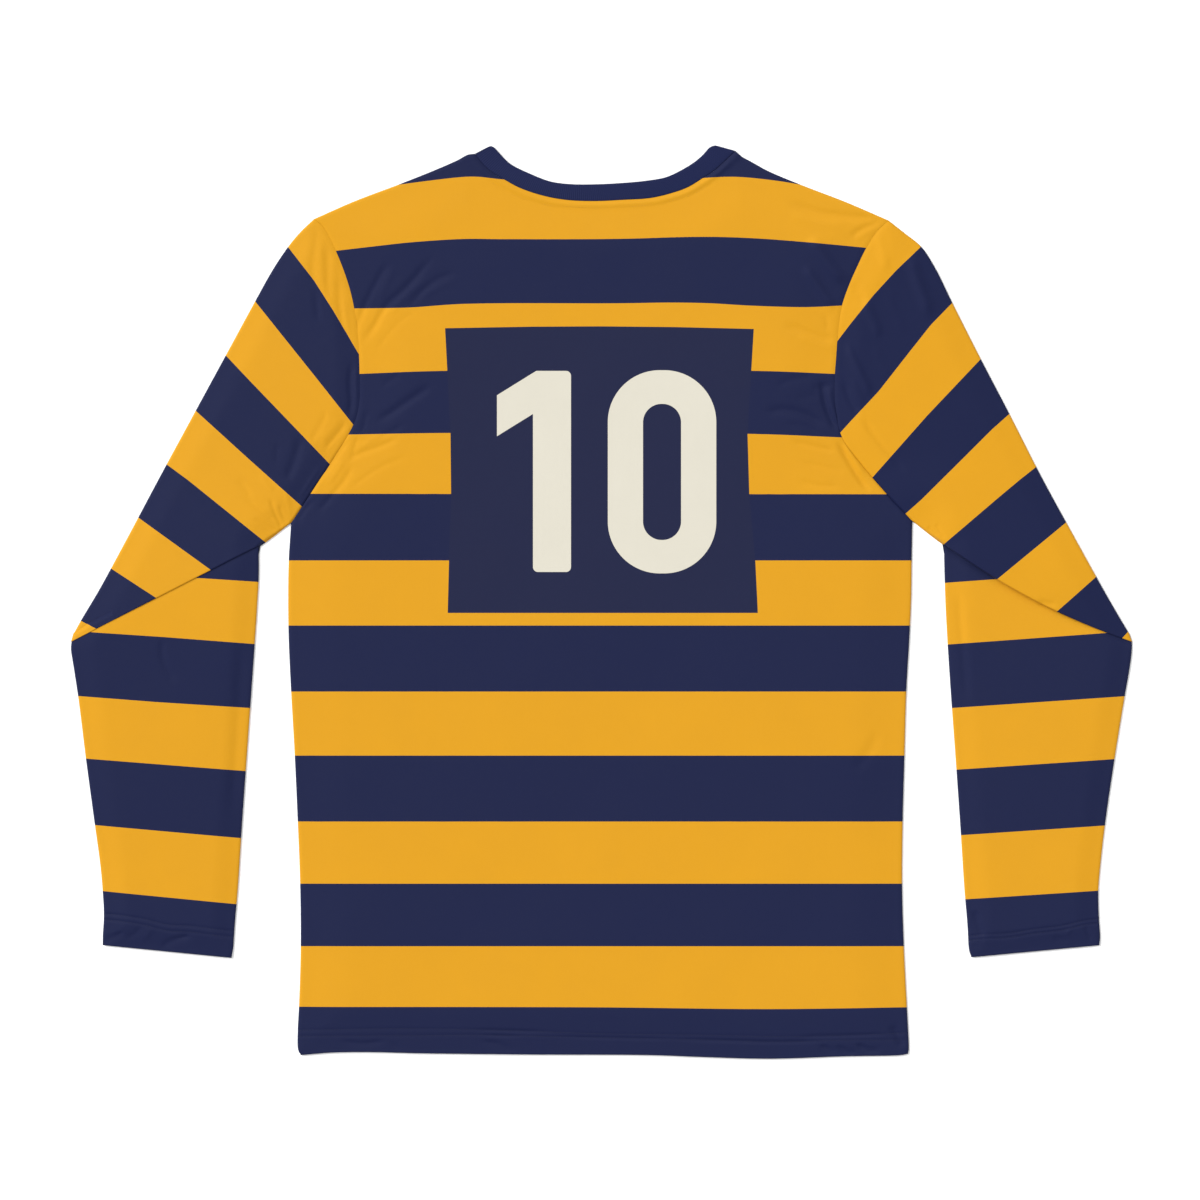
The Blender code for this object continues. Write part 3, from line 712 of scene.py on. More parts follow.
def between_edges(bottom, top, left, right, across, climb):
    """Grid blended between four edges. across and climb are the shares of its columns and rows."""
    u = across[None, :, None]
    v = climb[:, None, None]
    ruled = (1 - v) * bottom[None] + v * top[None] + (1 - u) * left[:, None] + u * right[:, None]
    corners = (1 - u) * ((1 - v) * left[0] + v * left[-1]) + u * ((1 - v) * right[0] + v * right[-1])
    return ruled - corners


# Heights


def round_share(distances, reach):
    """Share of full height near a round edge: none at the edge, all of it at reach."""
    inside = np.clip(1.0 - distances / reach, 0.0, 1.0)
    return np.sqrt(1.0 - inside * inside)


def roll(distances, reach, depth):
    """Drop of a rolled edge: none at reach, depth at the edge, round between."""
    return depth * (1.0 - round_share(distances, reach))


def rolled_side(heights, side):
    """Heights brought down round a side's edge, whatever they are further in."""
    edge = LAID - SIDE_ROLL_DEPTH
    return edge + (heights - edge) * round_share(side, SIDE_ROLL_REACH)


def armhole_roll(points, armhole):
    """Drop of the cloth at an armhole's seam: a soft dip, and a deeper roll towards the underarm."""
    distances, along = nearest(points, armhole)
    depth = UNDERARM_DEPTH * smooth_step(1.0 - along / UNDERARM_SHARE)
    return SEAM_DIP_DEPTH * bell(distances, SEAM_DIP_WIDTH) + roll(np.abs(distances), SEAM_ROLL_REACH, depth)


def crease_height(points, creases):
    """Sum of soft troughs and ridges, each fading out at its ends."""
    total = np.zeros(len(points))
    for crease in creases:
        path = smooth_path(crease.points, 4)
        reach = CREASE_REACH * crease.width
        near = ((points > path.min(0) - reach) & (points < path.max(0) + reach)).all(axis=1)
        distances, along = nearest(points[near], path)
        fade = smooth_step(CREASE_FADE * np.minimum(along, 1.0 - along))
        total[near] += crease.height * fade * bell(distances, crease.width)
    return total


def wave_height(points, edge_distances):
    x, y = points[:, 0], points[:, 1]
    total = np.zeros(len(points))
    for wave in WAVES:
        turn_x = 2.0 * math.pi * x / wave.length_x + wave.phase_x + WAVE_SWAY * np.sin(y / wave.length_y)
        turn_y = 2.0 * math.pi * y / wave.length_y + wave.phase_y
        total += wave.height * np.sin(turn_x) * np.sin(turn_y)
    return total * smooth_step(edge_distances / WAVE_REACH)


def stitch_groove(flat, lines, depth=STITCH_GROOVE_DEPTH):
    return sum(depth * bell(nearest(flat, line)[0], STITCH_GROOVE_WIDTH) for line in lines)


# Stripes


def stripe_count(levels, value):
    """Stripe coordinate, whose whole part counts the edges passed, from how far past each edge value is."""
    passed = np.clip((levels > value).sum(axis=0), 1, len(levels) - 1)
    rows = np.arange(levels.shape[1])
    above, below = levels[passed - 1, rows] - value, value - levels[passed, rows]
    return passed + np.clip(above / np.maximum(above + below, LEAST_STRIPE), 0.0, 1.0)


def body_pattern(points, numbered):
    """Stripe coordinate, and how far inside the number block across and along, below 0 outside it."""
    x, y = points[:, 0], points[:, 1]
    levels = [np.interp(x, *smooth_path(line, 6).T) for line in BODY_STRIPES]
    stripe = stripe_count(np.array([levels[0] + STRIPE_WIDTH, *levels, levels[-1] - STRIPE_WIDTH]), y)
    if not numbered:
        return plain_pattern(stripe)
    downward = (np.array(edge)[:, ::-1] * (-1, 1) for edge in (BLOCK_LEFT, BLOCK_RIGHT))
    left, right = (np.interp(-y, *edge.T) for edge in downward)
    top = np.interp(x, *np.array(BLOCK_TOP).T)
    return np.column_stack([stripe, np.minimum(x - left, right - x), np.minimum(top - y, y - BLOCK_BOTTOM)])


def plain_pattern(stripe):
    return np.column_stack([stripe, np.full((len(stripe), 2), -1.0)])


def sleeve_pattern(points, lines, first, down):
    """Stripe coordinate on a sleeve, starting at first. down is the way towards the cuff."""
    signed = []
    for line in lines:
        path = np.array(line)
        start = path[0] + LINE_EXTENSION * unit(path[0] - path[1])
        end = path[-1] + LINE_EXTENSION * unit(path[-1] - path[-2])
        run = end - start
        cuff_side = 1.0 if run[0] * down[1] > run[1] * down[0] else -1.0
        signed.append(cuff_side * nearest(points, np.vstack([start, path, end]))[0])
    levels = np.array([signed[0] + STRIPE_WIDTH, *signed, signed[-1] - STRIPE_WIDTH])
    return plain_pattern(first - 1 + stripe_count(levels, 0.0))


# Meshes


def new_piece(name, points, faces, material, weave=None):
    """Object made from points in millimetres, selected and active, with a weave for its UV map if knitted."""
    mesh = bpy.data.meshes.new(name)
    mesh.from_pydata((np.asarray(points) * METRES).tolist(), [], faces)
    if weave is not None:
        loops = np.empty(len(mesh.loops), np.int32)
        mesh.loops.foreach_get("vertex_index", loops)
        ways = (weave[loops] * METRES).astype(np.float32)
        mesh.uv_layers.new(name="weave").data.foreach_set("uv", ways.ravel())
    mesh.materials.append(material)
    piece = bpy.data.objects.new(name, mesh)
    bpy.context.scene.collection.objects.link(piece)
    bpy.ops.object.select_all(action="DESELECT")
    piece.select_set(True)
    bpy.context.view_layer.objects.active = piece
    return piece


def on_whole_mesh(operator, **options):
    """Runs an edit mode operator on all of the active piece."""
    bpy.ops.object.mode_set(mode="EDIT")
    bpy.ops.mesh.select_all(action="SELECT")
    operator(**options)
    bpy.ops.object.mode_set(mode="OBJECT")


def solid_piece(name, points, faces, material, weave=None):
    """Closed and smooth piece, whose faces point outwards."""
    piece = new_piece(name, points, faces, material, weave)
    on_whole_mesh(bpy.ops.mesh.normals_make_consistent, inside=False)
    bpy.ops.object.shade_smooth()
    return piece


class Cloth:
    """Grids of one piece of cloth, gathered with their pattern and weave before its mesh is made."""

    def __init__(self):
        self.points = []
        self.faces = []
        self.pattern = []
        self.weave = []
        self.count = 0

    def add_grid(self, plan, heights, pattern, weave, facing_up=True):
        """plan is a grid of plan points, and the rest hold a value for each of them."""
        rows, columns = plan.shape[:2]
        index = self.count + np.arange(rows * columns).reshape(rows, columns)
        corners = [index[:-1, :-1], index[:-1, 1:], index[1:, 1:], index[1:, :-1]]
        faces = np.stack([corner.ravel() for corner in corners], axis=1)
        row, column = rows // 2, columns // 2
        along = plan[row, column + 1] - plan[row, column]
        climb = plan[row + 1, column] - plan[row, column]
        turns_up = along[0] * climb[1] > along[1] * climb[0]
        self.faces.append(faces if turns_up == facing_up else faces[:, ::-1])
        self.points.append(np.column_stack([plan.reshape(-1, 2), heights.ravel()]))
        self.pattern.append(pattern)
        self.weave.append(weave)
        self.count += rows * columns

    def make(self, name, material, joined=False):
        """Shell with a wall of the cloth's thickness. joined merges the grids where they meet."""
        faces = np.vstack(self.faces).tolist()
        piece = new_piece(name, np.vstack(self.points), faces, material, np.vstack(self.weave))
        pattern = piece.data.attributes.new("pattern", "FLOAT_VECTOR", "POINT")
        pattern.data.foreach_set("vector", np.vstack(self.pattern).astype(np.float32).ravel())
        if joined:
            on_whole_mesh(bpy.ops.mesh.remove_doubles, threshold=JOIN_REACH * METRES)
        shell = piece.modifiers.new("Cloth wall", "SOLIDIFY")
        shell.thickness = settings().wall * METRES
        shell.offset = -1.0
        shell.use_rim = True
        bpy.ops.object.modifier_apply(modifier=shell.name)
        bpy.ops.object.shade_smooth()
        return piece


def rotated(points, direction):
    """Coordinates across and along a direction, for the weave."""
    across = np.array([direction[1], -direction[0]])
    return np.column_stack([points @ across, points @ np.asarray(direction)])


# Body


def body_edges(neck_path):
    """Edges of a body panel, each pair with its left one first."""
    return {
        "armholes": side_paths(ARMHOLES),
        "neck": neck_path,
        "sides": side_paths(SIDE_SEAMS) + side_paths(SHOULDERS),
        "hem": smooth_path(HEM),
    }


def side_rows(side_path, grid):
    """Shares of a panel's rows along its side seam, close together at the hem and its stitching."""
    length = path_lengths(side_path)[-1]
    shares = shares_along(length, grid, (*HEM_EDGE_INSETS, *HEM_FACE_INSETS))
    return np.unique(np.concatenate([shares, np.arange(*HEM_STITCH_BAND, STITCH_ROW) / length]))


def hem_points(hem, across):
    x = hem[0, 0] + across * (hem[-1, 0] - hem[0, 0])
    return np.column_stack([x, np.interp(x, hem[:, 0], hem[:, 1])])


def climb_shares(left, right):
    rise = left[:, 1] + right[:, 1]
    return (rise - rise[0]) / (rise[-1] - rise[0])


def body_grid(edges, grid, coarse):
    """Plan grid of the back panel, its columns from left to right and its rows from the hem up.

    The creases lie beside the armholes, so it is coarser below them and across the middle.
    """
    sides, shoulders = edges["sides"][:2], edges["sides"][2:]
    side_shares = side_rows(sides[0], coarse)
    hole_shares = shares_along(path_lengths(edges["armholes"][0])[-1], grid, end=EDGE_INSETS)
    left, right = (
        np.vstack([at_shares(side, side_shares), at_shares(hole, hole_shares)[1:]])
        for side, hole in zip(sides, edges["armholes"])
    )
    shoulder_shares = shares_along(path_lengths(shoulders[0])[-1], grid, EDGE_INSETS)
    neck_shares = shares_along(path_lengths(edges["neck"])[-1], coarse)
    left_shoulder, right_shoulder = (at_shares(shoulder, shoulder_shares) for shoulder in shoulders)
    top = np.vstack([left_shoulder, at_shares(edges["neck"], neck_shares)[1:-1], right_shoulder[::-1]])
    across = (top[:, 0] - top[0, 0]) / (top[-1, 0] - top[0, 0])
    hem = hem_points(edges["hem"], across)
    return between_edges(hem, top, left, right, across, climb_shares(left, right))


def front_grids(edges, grid):
    """Plan grids of the front panel: from the hem to the underarms, and from there around the deep neck."""
    shares = side_rows(edges["sides"][0], grid)
    left, right = (at_shares(side, shares) for side in edges["sides"][:2])
    across = shares_along(right[-1, 0] - left[-1, 0], grid, EDGE_INSETS, EDGE_INSETS)
    underarms = left[-1] + across[:, None] * (right[-1] - left[-1])
    hem = hem_points(edges["hem"], across)
    lower = between_edges(hem, underarms, left, right, across, climb_shares(left, right))
    hole_shares = shares_along(path_lengths(edges["armholes"][0])[-1], grid, end=EDGE_INSETS)
    left_hole, right_hole = (at_shares(hole, hole_shares) for hole in edges["armholes"])
    outer = np.vstack([left_hole[::-1], underarms[1:-1], right_hole])
    hole, last = len(hole_shares) - 1, len(outer) - 1
    around = np.interp(np.arange(len(outer)), [0, hole, last - hole, last], FRONT_NECK_SHARES)
    inward = shares_along(path_lengths(edges["sides"][2])[-1], grid, EDGE_INSETS, EDGE_INSETS)
    left, right = (at_shares(shoulder, inward) for shoulder in edges["sides"][2:])
    upper = between_edges(outer, at_shares(edges["neck"], around), left, right, around, inward)
    return lower, upper


def with_hem(plan, heights, turned_up):
    """Adds the rows of the hem's roll, which turns back inside the panel, before the first row."""
    sign = -1.0 if turned_up else 1.0
    upward = unit(plan[HEM_UPWARD_ROW] - plan[0])
    inside = [plan[0] + inset * upward for inset, drop in HEM_INSIDE]
    inside_heights = [heights[HEM_FACE_ROW] + sign * drop for inset, drop in HEM_INSIDE]
    edge = heights[: len(HEM_EDGE)] + sign * np.array(HEM_EDGE)[:, 1:]
    return np.vstack([inside, plan]), np.vstack([inside_heights, edge, heights[len(HEM_EDGE) :]])


def with_cuff(plan, heights, turned_up):
    """The same at the last row."""
    plan, heights = with_hem(plan[::-1], heights[::-1], turned_up)
    return plan[::-1], heights[::-1]


def body_heights(flat, edges):
    """Height of the back panel's face at plan points, without its turned hem and stitching."""
    neck = distance(flat, edges["neck"])
    side = distance(flat, *edges["sides"])
    hem = distance(flat, edges["hem"])
    inside = np.min([distance(flat, *edges["armholes"]), neck, side, hem], axis=0)
    heights = LAID + BACK_LOFT * smooth_step(inside / BACK_LOFT_REACH) + wave_height(flat, inside)
    heights += crease_height(flat, BODY_CREASES) * smooth_step(np.minimum(side, hem) / CREASE_EDGE_REACH)
    heights += COLLAR_BULGE * bell(neck - COLLAR_BULGE_FROM_SEAM, COLLAR_BULGE_WIDTH)
    heights -= roll(neck, SEAM_ROLL_REACH, SEAM_ROLL_DEPTH)
    heights -= sum(armhole_roll(flat, path) for path in edges["armholes"])
    return rolled_side(heights, side)


def hem_lines():
    return [smooth_path(line) for line in HEM_STITCHES]


def back_neck_paths():
    seam = smooth_path([(s.seam_x, s.seam_y) for s in BACK_NECK], 6)
    free = smooth_path([(s.free_x, s.free_y) for s in BACK_NECK], 6)
    return seam, free


def front_neck_paths():
    """Seam and free edge of the band at the front: half ovals between the ends of the back's."""
    first, last = BACK_NECK[0], BACK_NECK[-1]
    turns = np.linspace(math.pi, 2.0 * math.pi, FRONT_NECK_STEPS + 1)
    paths = []
    for start, end, depth in (
        (first[:2], last[:2], FRONT_NECK_DEPTH),
        (first[2:], last[2:], FRONT_BAND_DEPTH),
    ):
        start, end = np.array(start), np.array(end)
        path = (start + end) / 2.0 + np.cos(turns)[:, None] * (end - start) / 2.0
        path[:, 1] += depth * np.sin(turns)
        paths.append(path)
    return paths


def back_face(points, lines):
    """Height of the back panel's face at any plan points, with a groove along lines of stitching."""
    return body_heights(points, body_edges(back_neck_paths()[0])) - stitch_groove(points, lines)


def make_back(material):
    grid = settings().grid
    edges = body_edges(back_neck_paths()[0])
    plan = body_grid(edges, grid, BACK_COARSE * grid)
    flat = plan.reshape(-1, 2)
    heights = body_heights(flat, edges) - stitch_groove(flat, [*hem_lines(), smooth_path(COLLAR_STITCHES)])
    plan, heights = with_hem(plan, heights.reshape(plan.shape[:2]), True)
    flat = plan.reshape(-1, 2)
    cloth = Cloth()
    cloth.add_grid(plan, heights, body_pattern(flat, True), rotated(flat, UP_THE_BODY))
    return cloth.make("back_panel", material)


def under_heights(plan, edges):
    """Height of the front panel's outer face, which lies on the surface and rises at its edges."""
    flat = plan.reshape(-1, 2)
    seam = distance(flat, *edges["armholes"], edges["neck"])
    rise = roll(seam, SEAM_ROLL_REACH, UNDER_SEAM_DEPTH)
    rise += roll(distance(flat, *edges["sides"]), SIDE_ROLL_REACH, UNDER_ROLL_DEPTH)
    heights = np.minimum(rise, UNDER_ROLL_DEPTH) + stitch_groove(flat, hem_lines())
    return heights.reshape(plan.shape[:2])


def make_front(material):
    edges = body_edges(front_neck_paths()[0])
    lower, upper = front_grids(edges, UNDERSIDE_COARSE * settings().grid)
    cloth = Cloth()
    turned = with_hem(lower, under_heights(lower, edges), False)
    for plan, heights in (turned, (upper, under_heights(upper, edges))):
        flat = plan.reshape(-1, 2)
        cloth.add_grid(plan, heights, body_pattern(flat, False), rotated(flat, UP_THE_BODY), facing_up=False)
    return cloth.make("front_panel", material, joined=True)


# Sleeves


class SleeveShape:
    """Edges of one sleeve in plan, and the height of its faces."""

    def __init__(self, left):
        self.side = -1.0 if left else 1.0
        self.look = LEFT_SLEEVE if left else RIGHT_SLEEVE
        stitches = smooth_path(self.look.stitches)
        self.cuff_lines = [stitches, stitches - (0.0, self.look.rows_apart)]
        armhole = smooth_path(side_points(ARMHOLES, left))
        self.armhole = armhole - self.side * SEAM_GAP * path_normals(armhole)
        self.fold_inner = side_points([FOLD_INNER], left)[0]
        self.fold_outer = side_points([FOLD_OUTER], left)[0]
        self.normal = square_to(self.fold_outer - self.fold_inner, True)
        self.outer = smooth_path(side_points(UPPER_SLEEVE_OUTER, left))
        self.outer[0] = self.armhole[-1]
        self.low_outer = smooth_path(side_points([FOLD_OUTER, *LOWER_SLEEVE_OUTER], left))
        self.low_inner = smooth_path(side_points([FOLD_INNER, *LOWER_SLEEVE_INNER], left))
        underarm = np.vstack([self.armhole[0], self.fold_inner])
        elbow = np.vstack([self.outer[-1], self.fold_outer])
        cuff = np.vstack([self.low_inner[-1], self.low_outer[-1]])
        self.closed = [self.outer, elbow, self.low_outer, self.low_inner, underarm]
        self.boundary = [*self.closed, self.armhole, cuff]
        self.fold = self.fold_points(np.linspace(0.0, 1.0, FOLD_STEPS + 1))
        self.upper_down, self.lower_down = (
            unit(np.array([self.side * x, y])) for x, y in (UPPER_SLEEVE_RUN, LOWER_SLEEVE_RUN)
        )

    def fold_points(self, shares):
        shares = np.asarray(shares)[:, None]
        bow = 4.0 * self.look.sag * shares * (1.0 - shares)
        return self.fold_inner + shares * (self.fold_outer - self.fold_inner) - bow * self.normal

    def fold_directions(self, across):
        """Directions back over the sleeve: square to its fold, but along its own edges at both ends."""
        at_inner = smooth_step(1.0 - across / FOLD_TURN_SHARE)[:, None]
        at_outer = smooth_step(1.0 - (1.0 - across) / FOLD_TURN_SHARE)[:, None]
        inner = unit(self.armhole[0] - self.fold_inner)
        outer = unit(self.outer[-1] - self.fold_outer)
        return unit((1.0 - at_inner - at_outer) * self.normal + at_inner * inner + at_outer * outer)

    def shelf_line(self, across):
        """Line on the upper sleeve behind its fold, which ends on the outer edge."""
        at_outer = smooth_step(1.0 - (1.0 - across) / FOLD_TURN_SHARE)[:, None]
        reach = SHELF + at_outer * (np.linalg.norm(self.outer[-1] - self.fold_outer) - SHELF)
        return self.fold_points(across) + reach * self.fold_directions(across)

    def allowance_rows(self, across):
        """Seam allowance at the armhole, from its raw edge to the seam, with its height."""
        length = path_lengths(self.armhole)[-1]
        seam = at_shares(self.armhole, across)
        toward_body = self.side * path_normals(seam)
        taper = smooth_step(np.minimum(across, 1.0 - across) * length / ALLOWANCE_TAPER)[:, None]
        rows = [seam + reach * taper * toward_body for reach, height in ALLOWANCE]
        levels = [np.full(len(across), height) for reach, height in ALLOWANCE]
        return rows, levels

    def lap(self, points):
        """Share of the elbow's overlap at points of the upper sleeve."""
        distances, along = nearest(points, self.fold)
        from_elbow = smooth_step((1.0 - along) / OVERLAP_RISE_FROM_ELBOW)
        near_fold = smooth_step(1.0 - np.abs(distances) / OVERLAP_REACH)
        underarm = np.linalg.norm(points - self.armhole[0], axis=1)
        return from_elbow * near_fold * smooth_step(underarm / OVERLAP_RISE_FROM_UNDERARM)

    def lofted(self, points):
        """Height of the sleeve's upper face without its overlap and its rolled edges."""
        inside = distance(points, *self.boundary)
        shown = smooth_step(distance(points, *self.closed) / CREASE_EDGE_REACH)
        heights = LAID + SLEEVE_LOFT * smooth_step(inside / SLEEVE_LOFT_REACH)
        heights += crease_height(points, self.look.creases) * shown
        return heights + SLEEVE_WAVES * wave_height(points, inside)

    def upper_face(self, points):
        return self.lofted(points) + self.look.overlap * self.lap(points)

    def lower_face(self, points):
        return self.lofted(points) - self.look.ditch * bell(distance(points, self.fold), FOLD_DITCH_REACH)

    def stitched_face(self, points):
        return self.lower_face(points) - stitch_groove(points, self.cuff_lines, CUFF_GROOVE_DEPTH)

    def rolled(self, points, heights):
        return rolled_side(heights - armhole_roll(points, self.armhole), distance(points, *self.closed))

    def sewn_face(self, points):
        return self.rolled(points, self.stitched_face(points))

    def looks(self, points, upper):
        """Pattern and weave at points of the upper arm or of the forearm."""
        if upper:
            lines, first, down = self.look.upper_stripes, 0, self.upper_down
        else:
            lines, first, down = self.look.lower_stripes, 1, self.lower_down
        return sleeve_pattern(points, lines, first, down), rotated(points, down)


def sleeve_columns(shape, grid):
    """Shares of the sleeve's columns across it, from the inner edge to the outer."""
    width = np.linalg.norm(shape.fold_outer - shape.fold_inner)
    return shares_along(width, grid, EDGE_INSETS, EDGE_INSETS)


def upper_grid(shape, across, end_line, grid):
    """Plan grid from the armhole to a line across the sleeve."""
    climb = shares_along(path_lengths(shape.outer)[-1], grid, EDGE_INSETS)
    outer = at_shares(np.vstack([shape.outer[:-1], end_line[-1]]), climb)
    inner = at_shares(np.vstack([shape.armhole[0], end_line[0]]), climb)
    return between_edges(at_shares(shape.armhole, across), end_line, inner, outer, across, climb)


def lower_grid(shape, across, first_line, inner_path, down):
    """Plan grid from a line across the sleeve to the cuff."""
    outer = at_shares(shape.low_outer, down)
    inner = at_shares(inner_path, down)
    cuff = inner[-1] + across[:, None] * (outer[-1] - inner[-1])
    return between_edges(first_line, cuff, inner, outer, across, down)


def lip_rows(shape, across):
    """Rows of the fold over its lip and back beneath it, then those out again onto the lower sleeve."""
    fold = shape.fold_points(across)
    direction = shape.fold_directions(across)
    under = shape.lower_face(fold) + LIP_CLEARANCE
    over = np.maximum(shape.upper_face(fold + LIP_RADIUS * direction), under + LIP_THICKNESS)
    rows = [fold + back * direction for back in LIP_APPROACH]
    heights = [np.maximum(shape.upper_face(points), under + LIP_THICKNESS) for points in rows]
    for angle in LIP_ANGLES:
        turn = math.radians(angle)
        rows.append(fold + LIP_RADIUS * (1.0 - math.sin(turn)) * direction)
        heights.append((over + under) / 2.0 + math.cos(turn) * (over - under) / 2.0)
    rows += [fold + back * direction for back in LIP_TUCK]
    heights += [under for back in LIP_TUCK]
    beneath = [fold + back * direction for back in LIP_TUCK[::-1]]
    levels = [np.minimum(shape.lower_face(points), under - LIP_CLEARANCE) - HIDDEN_DROP for points in beneath]
    return rows, heights, beneath, levels


def make_sleeve(name, left, material):
    shape = SleeveShape(left)
    grid = settings().grid
    across = sleeve_columns(shape, grid)
    upper = upper_grid(shape, across, shape.shelf_line(across), grid)
    upper_heights = shape.upper_face(upper.reshape(-1, 2)).reshape(upper.shape[:2])
    rows, heights, beneath, beneath_heights = lip_rows(shape, across)
    length = path_lengths(shape.low_outer)[-1]
    stitch_band = length - np.arange(*CUFF_STITCH_BAND, STITCH_ROW)
    down = shares_along(length, grid, BELOW_FOLD_INSETS, HEM_EDGE_INSETS)
    down = np.unique(np.concatenate([down, stitch_band / length]))
    lower = lower_grid(shape, across, shape.fold_points(across), shape.low_inner, down)
    lower_heights = shape.stitched_face(lower.reshape(-1, 2)).reshape(lower.shape[:2])
    lower, lower_heights = with_cuff(lower, lower_heights, True)
    plan = np.concatenate([upper, rows, beneath, lower])
    levels = np.concatenate([upper_heights, heights, beneath_heights, lower_heights])
    levels = shape.rolled(plan.reshape(-1, 2), levels.ravel()).reshape(levels.shape)
    allowance, allowance_levels = shape.allowance_rows(across)
    plan = np.concatenate([allowance, plan])
    levels = np.concatenate([allowance_levels, levels])
    flat = plan.reshape(-1, 2)
    upper_count = (len(allowance) + len(upper) + len(rows)) * len(across)
    looks = zip(shape.looks(flat[:upper_count], True), shape.looks(flat[upper_count:], False))
    pattern, weave = (np.vstack(parts) for parts in looks)
    cloth = Cloth()
    cloth.add_grid(plan, levels, pattern, weave)
    add_sleeve_underside(cloth, shape, UNDERSIDE_COARSE * grid)
    return cloth.make(name, material)


def add_sleeve_underside(cloth, shape, grid):
    """Lower face of a sleeve, whose forearm laps the upper arm from the underarm to the elbow."""
    across = sleeve_columns(shape, grid)
    underarm, elbow = shape.armhole[0], shape.fold_outer
    lap_path = np.vstack([underarm, elbow])
    lap_line = underarm + across[:, None] * (elbow - underarm)
    share = np.minimum(1.0, HIDDEN_LAP_RISE * across * (1.0 - across))[:, None]
    hidden = HIDDEN_LAP * square_to(elbow - underarm, False) * share
    upper = upper_grid(shape, across, lap_line + hidden, grid)
    flat = upper.reshape(-1, 2)
    heights = UNDER_LAP_RISE * smooth_step(1.0 - distance(flat, lap_path) / UNDER_LAP_REACH)
    heights += roll(distance(flat, shape.outer), SIDE_ROLL_REACH, UNDER_ROLL_DEPTH)
    heights += roll(distance(flat, shape.armhole), SEAM_ROLL_REACH, UNDER_SEAM_DEPTH)
    cloth.add_grid(upper, heights, *shape.looks(flat, True), facing_up=False)
    down = shares_along(path_lengths(shape.low_outer)[-1], grid, EDGE_INSETS, HEM_EDGE_INSETS)
    lower = lower_grid(shape, across, lap_line, np.vstack([underarm, shape.low_inner]), down)
    flat = lower.reshape(-1, 2)
    closed = distance(flat, shape.low_outer, shape.low_inner)
    heights = roll(closed, SIDE_ROLL_REACH, UNDER_ROLL_DEPTH)
    heights += roll(distance(flat, lap_path), UNDER_LAP_EDGE_REACH, UNDER_LAP_EDGE_DEPTH)
    heights = np.minimum(heights, UNDER_ROLL_DEPTH)
    lower, heights = with_cuff(lower, heights.reshape(lower.shape[:2]), False)
    cloth.add_grid(lower, heights, *shape.looks(lower.reshape(-1, 2), False), facing_up=False)


# Neckband


def band_half(seam, free, outer_height, inner_height, step):
    """Four-cornered sections of one half of the neckband, drawn in at both ends for the roll."""
    normals = path_normals(seam)
    sides = np.sign(((free - seam) * normals).sum(axis=1, keepdims=True))
    sewn = seam + SEAM_GAP * sides * normals
    edge = free.copy()
    for path in (sewn, edge):
        path[0] += BAND_ROLL_INSET * unit(path[1] - path[0])
        path[-1] += BAND_ROLL_INSET * unit(path[-2] - path[-1])
    shares = shares_along(path_lengths(sewn)[-1], step)
    return [
        ((*a, outer_height), (*b, outer_height), (*b, inner_height), (*a, inner_height))
        for a, b in zip(at_shares(sewn, shares), at_shares(edge, shares))
    ]


def band_turn(seam, free):
    """Sections of the turn at the start of the back's half, from the upper half to the lower half."""
    sewn = seam[0] + SEAM_GAP * unit(free[0] - seam[0])
    seam_inward = unit(seam[1] - seam[0])
    free_inward = unit(free[1] - free[0])
    return [
        (
            (*(sewn + step.outer_inset * seam_inward), step.outer_height),
            (*(free[0] + step.outer_inset * free_inward), step.outer_height),
            (*(free[0] + step.inner_inset * free_inward), step.inner_height),
            (*(sewn + step.inner_inset * seam_inward), step.inner_height),
        )
        for step in BAND_TURN
    ]


def make_neckband(material):
    back_seam, back_free = back_neck_paths()
    front_seam, front_free = front_neck_paths()
    sections = band_half(back_seam, back_free, BAND_TOP, UPPER_LAYER, BACK_BAND_STEP)
    sections += band_turn(back_seam[::-1], back_free[::-1])
    sections += band_half(front_seam[::-1], front_free[::-1], 0.0, CLOTH, FRONT_BAND_STEP)
    sections += band_turn(back_seam, back_free)[::-1]
    corners = np.array(sections)
    rings = []
    for across, thick in BAND_SECTION:
        outer = corners[:, 0] + across * (corners[:, 1] - corners[:, 0])
        inner = corners[:, 3] + across * (corners[:, 2] - corners[:, 3])
        rings.append(inner + thick * (outer - inner))
    points = np.stack(rings, axis=1)
    stations, around = points.shape[:2]
    index = np.arange(stations * around).reshape(stations, around)
    beyond = np.roll(index, -1, axis=0)
    faces = np.stack([index, np.roll(index, -1, axis=1), np.roll(beyond, -1, axis=1), beyond], axis=-1)
    along = path_lengths(corners.mean(axis=1)[:, :2])
    widths = np.linalg.norm(corners[:, 1, :2] - corners[:, 0, :2], axis=1)
    shares = np.array([across for across, thick in BAND_SECTION])
    weave = np.stack([np.repeat(along[:, None], around, axis=1), widths[:, None] * shares], axis=-1)
    faces = faces.reshape(-1, 4).tolist()
    return solid_piece("neckband_rib", points.reshape(-1, 3), faces, material, weave.reshape(-1, 2))


# Stitching


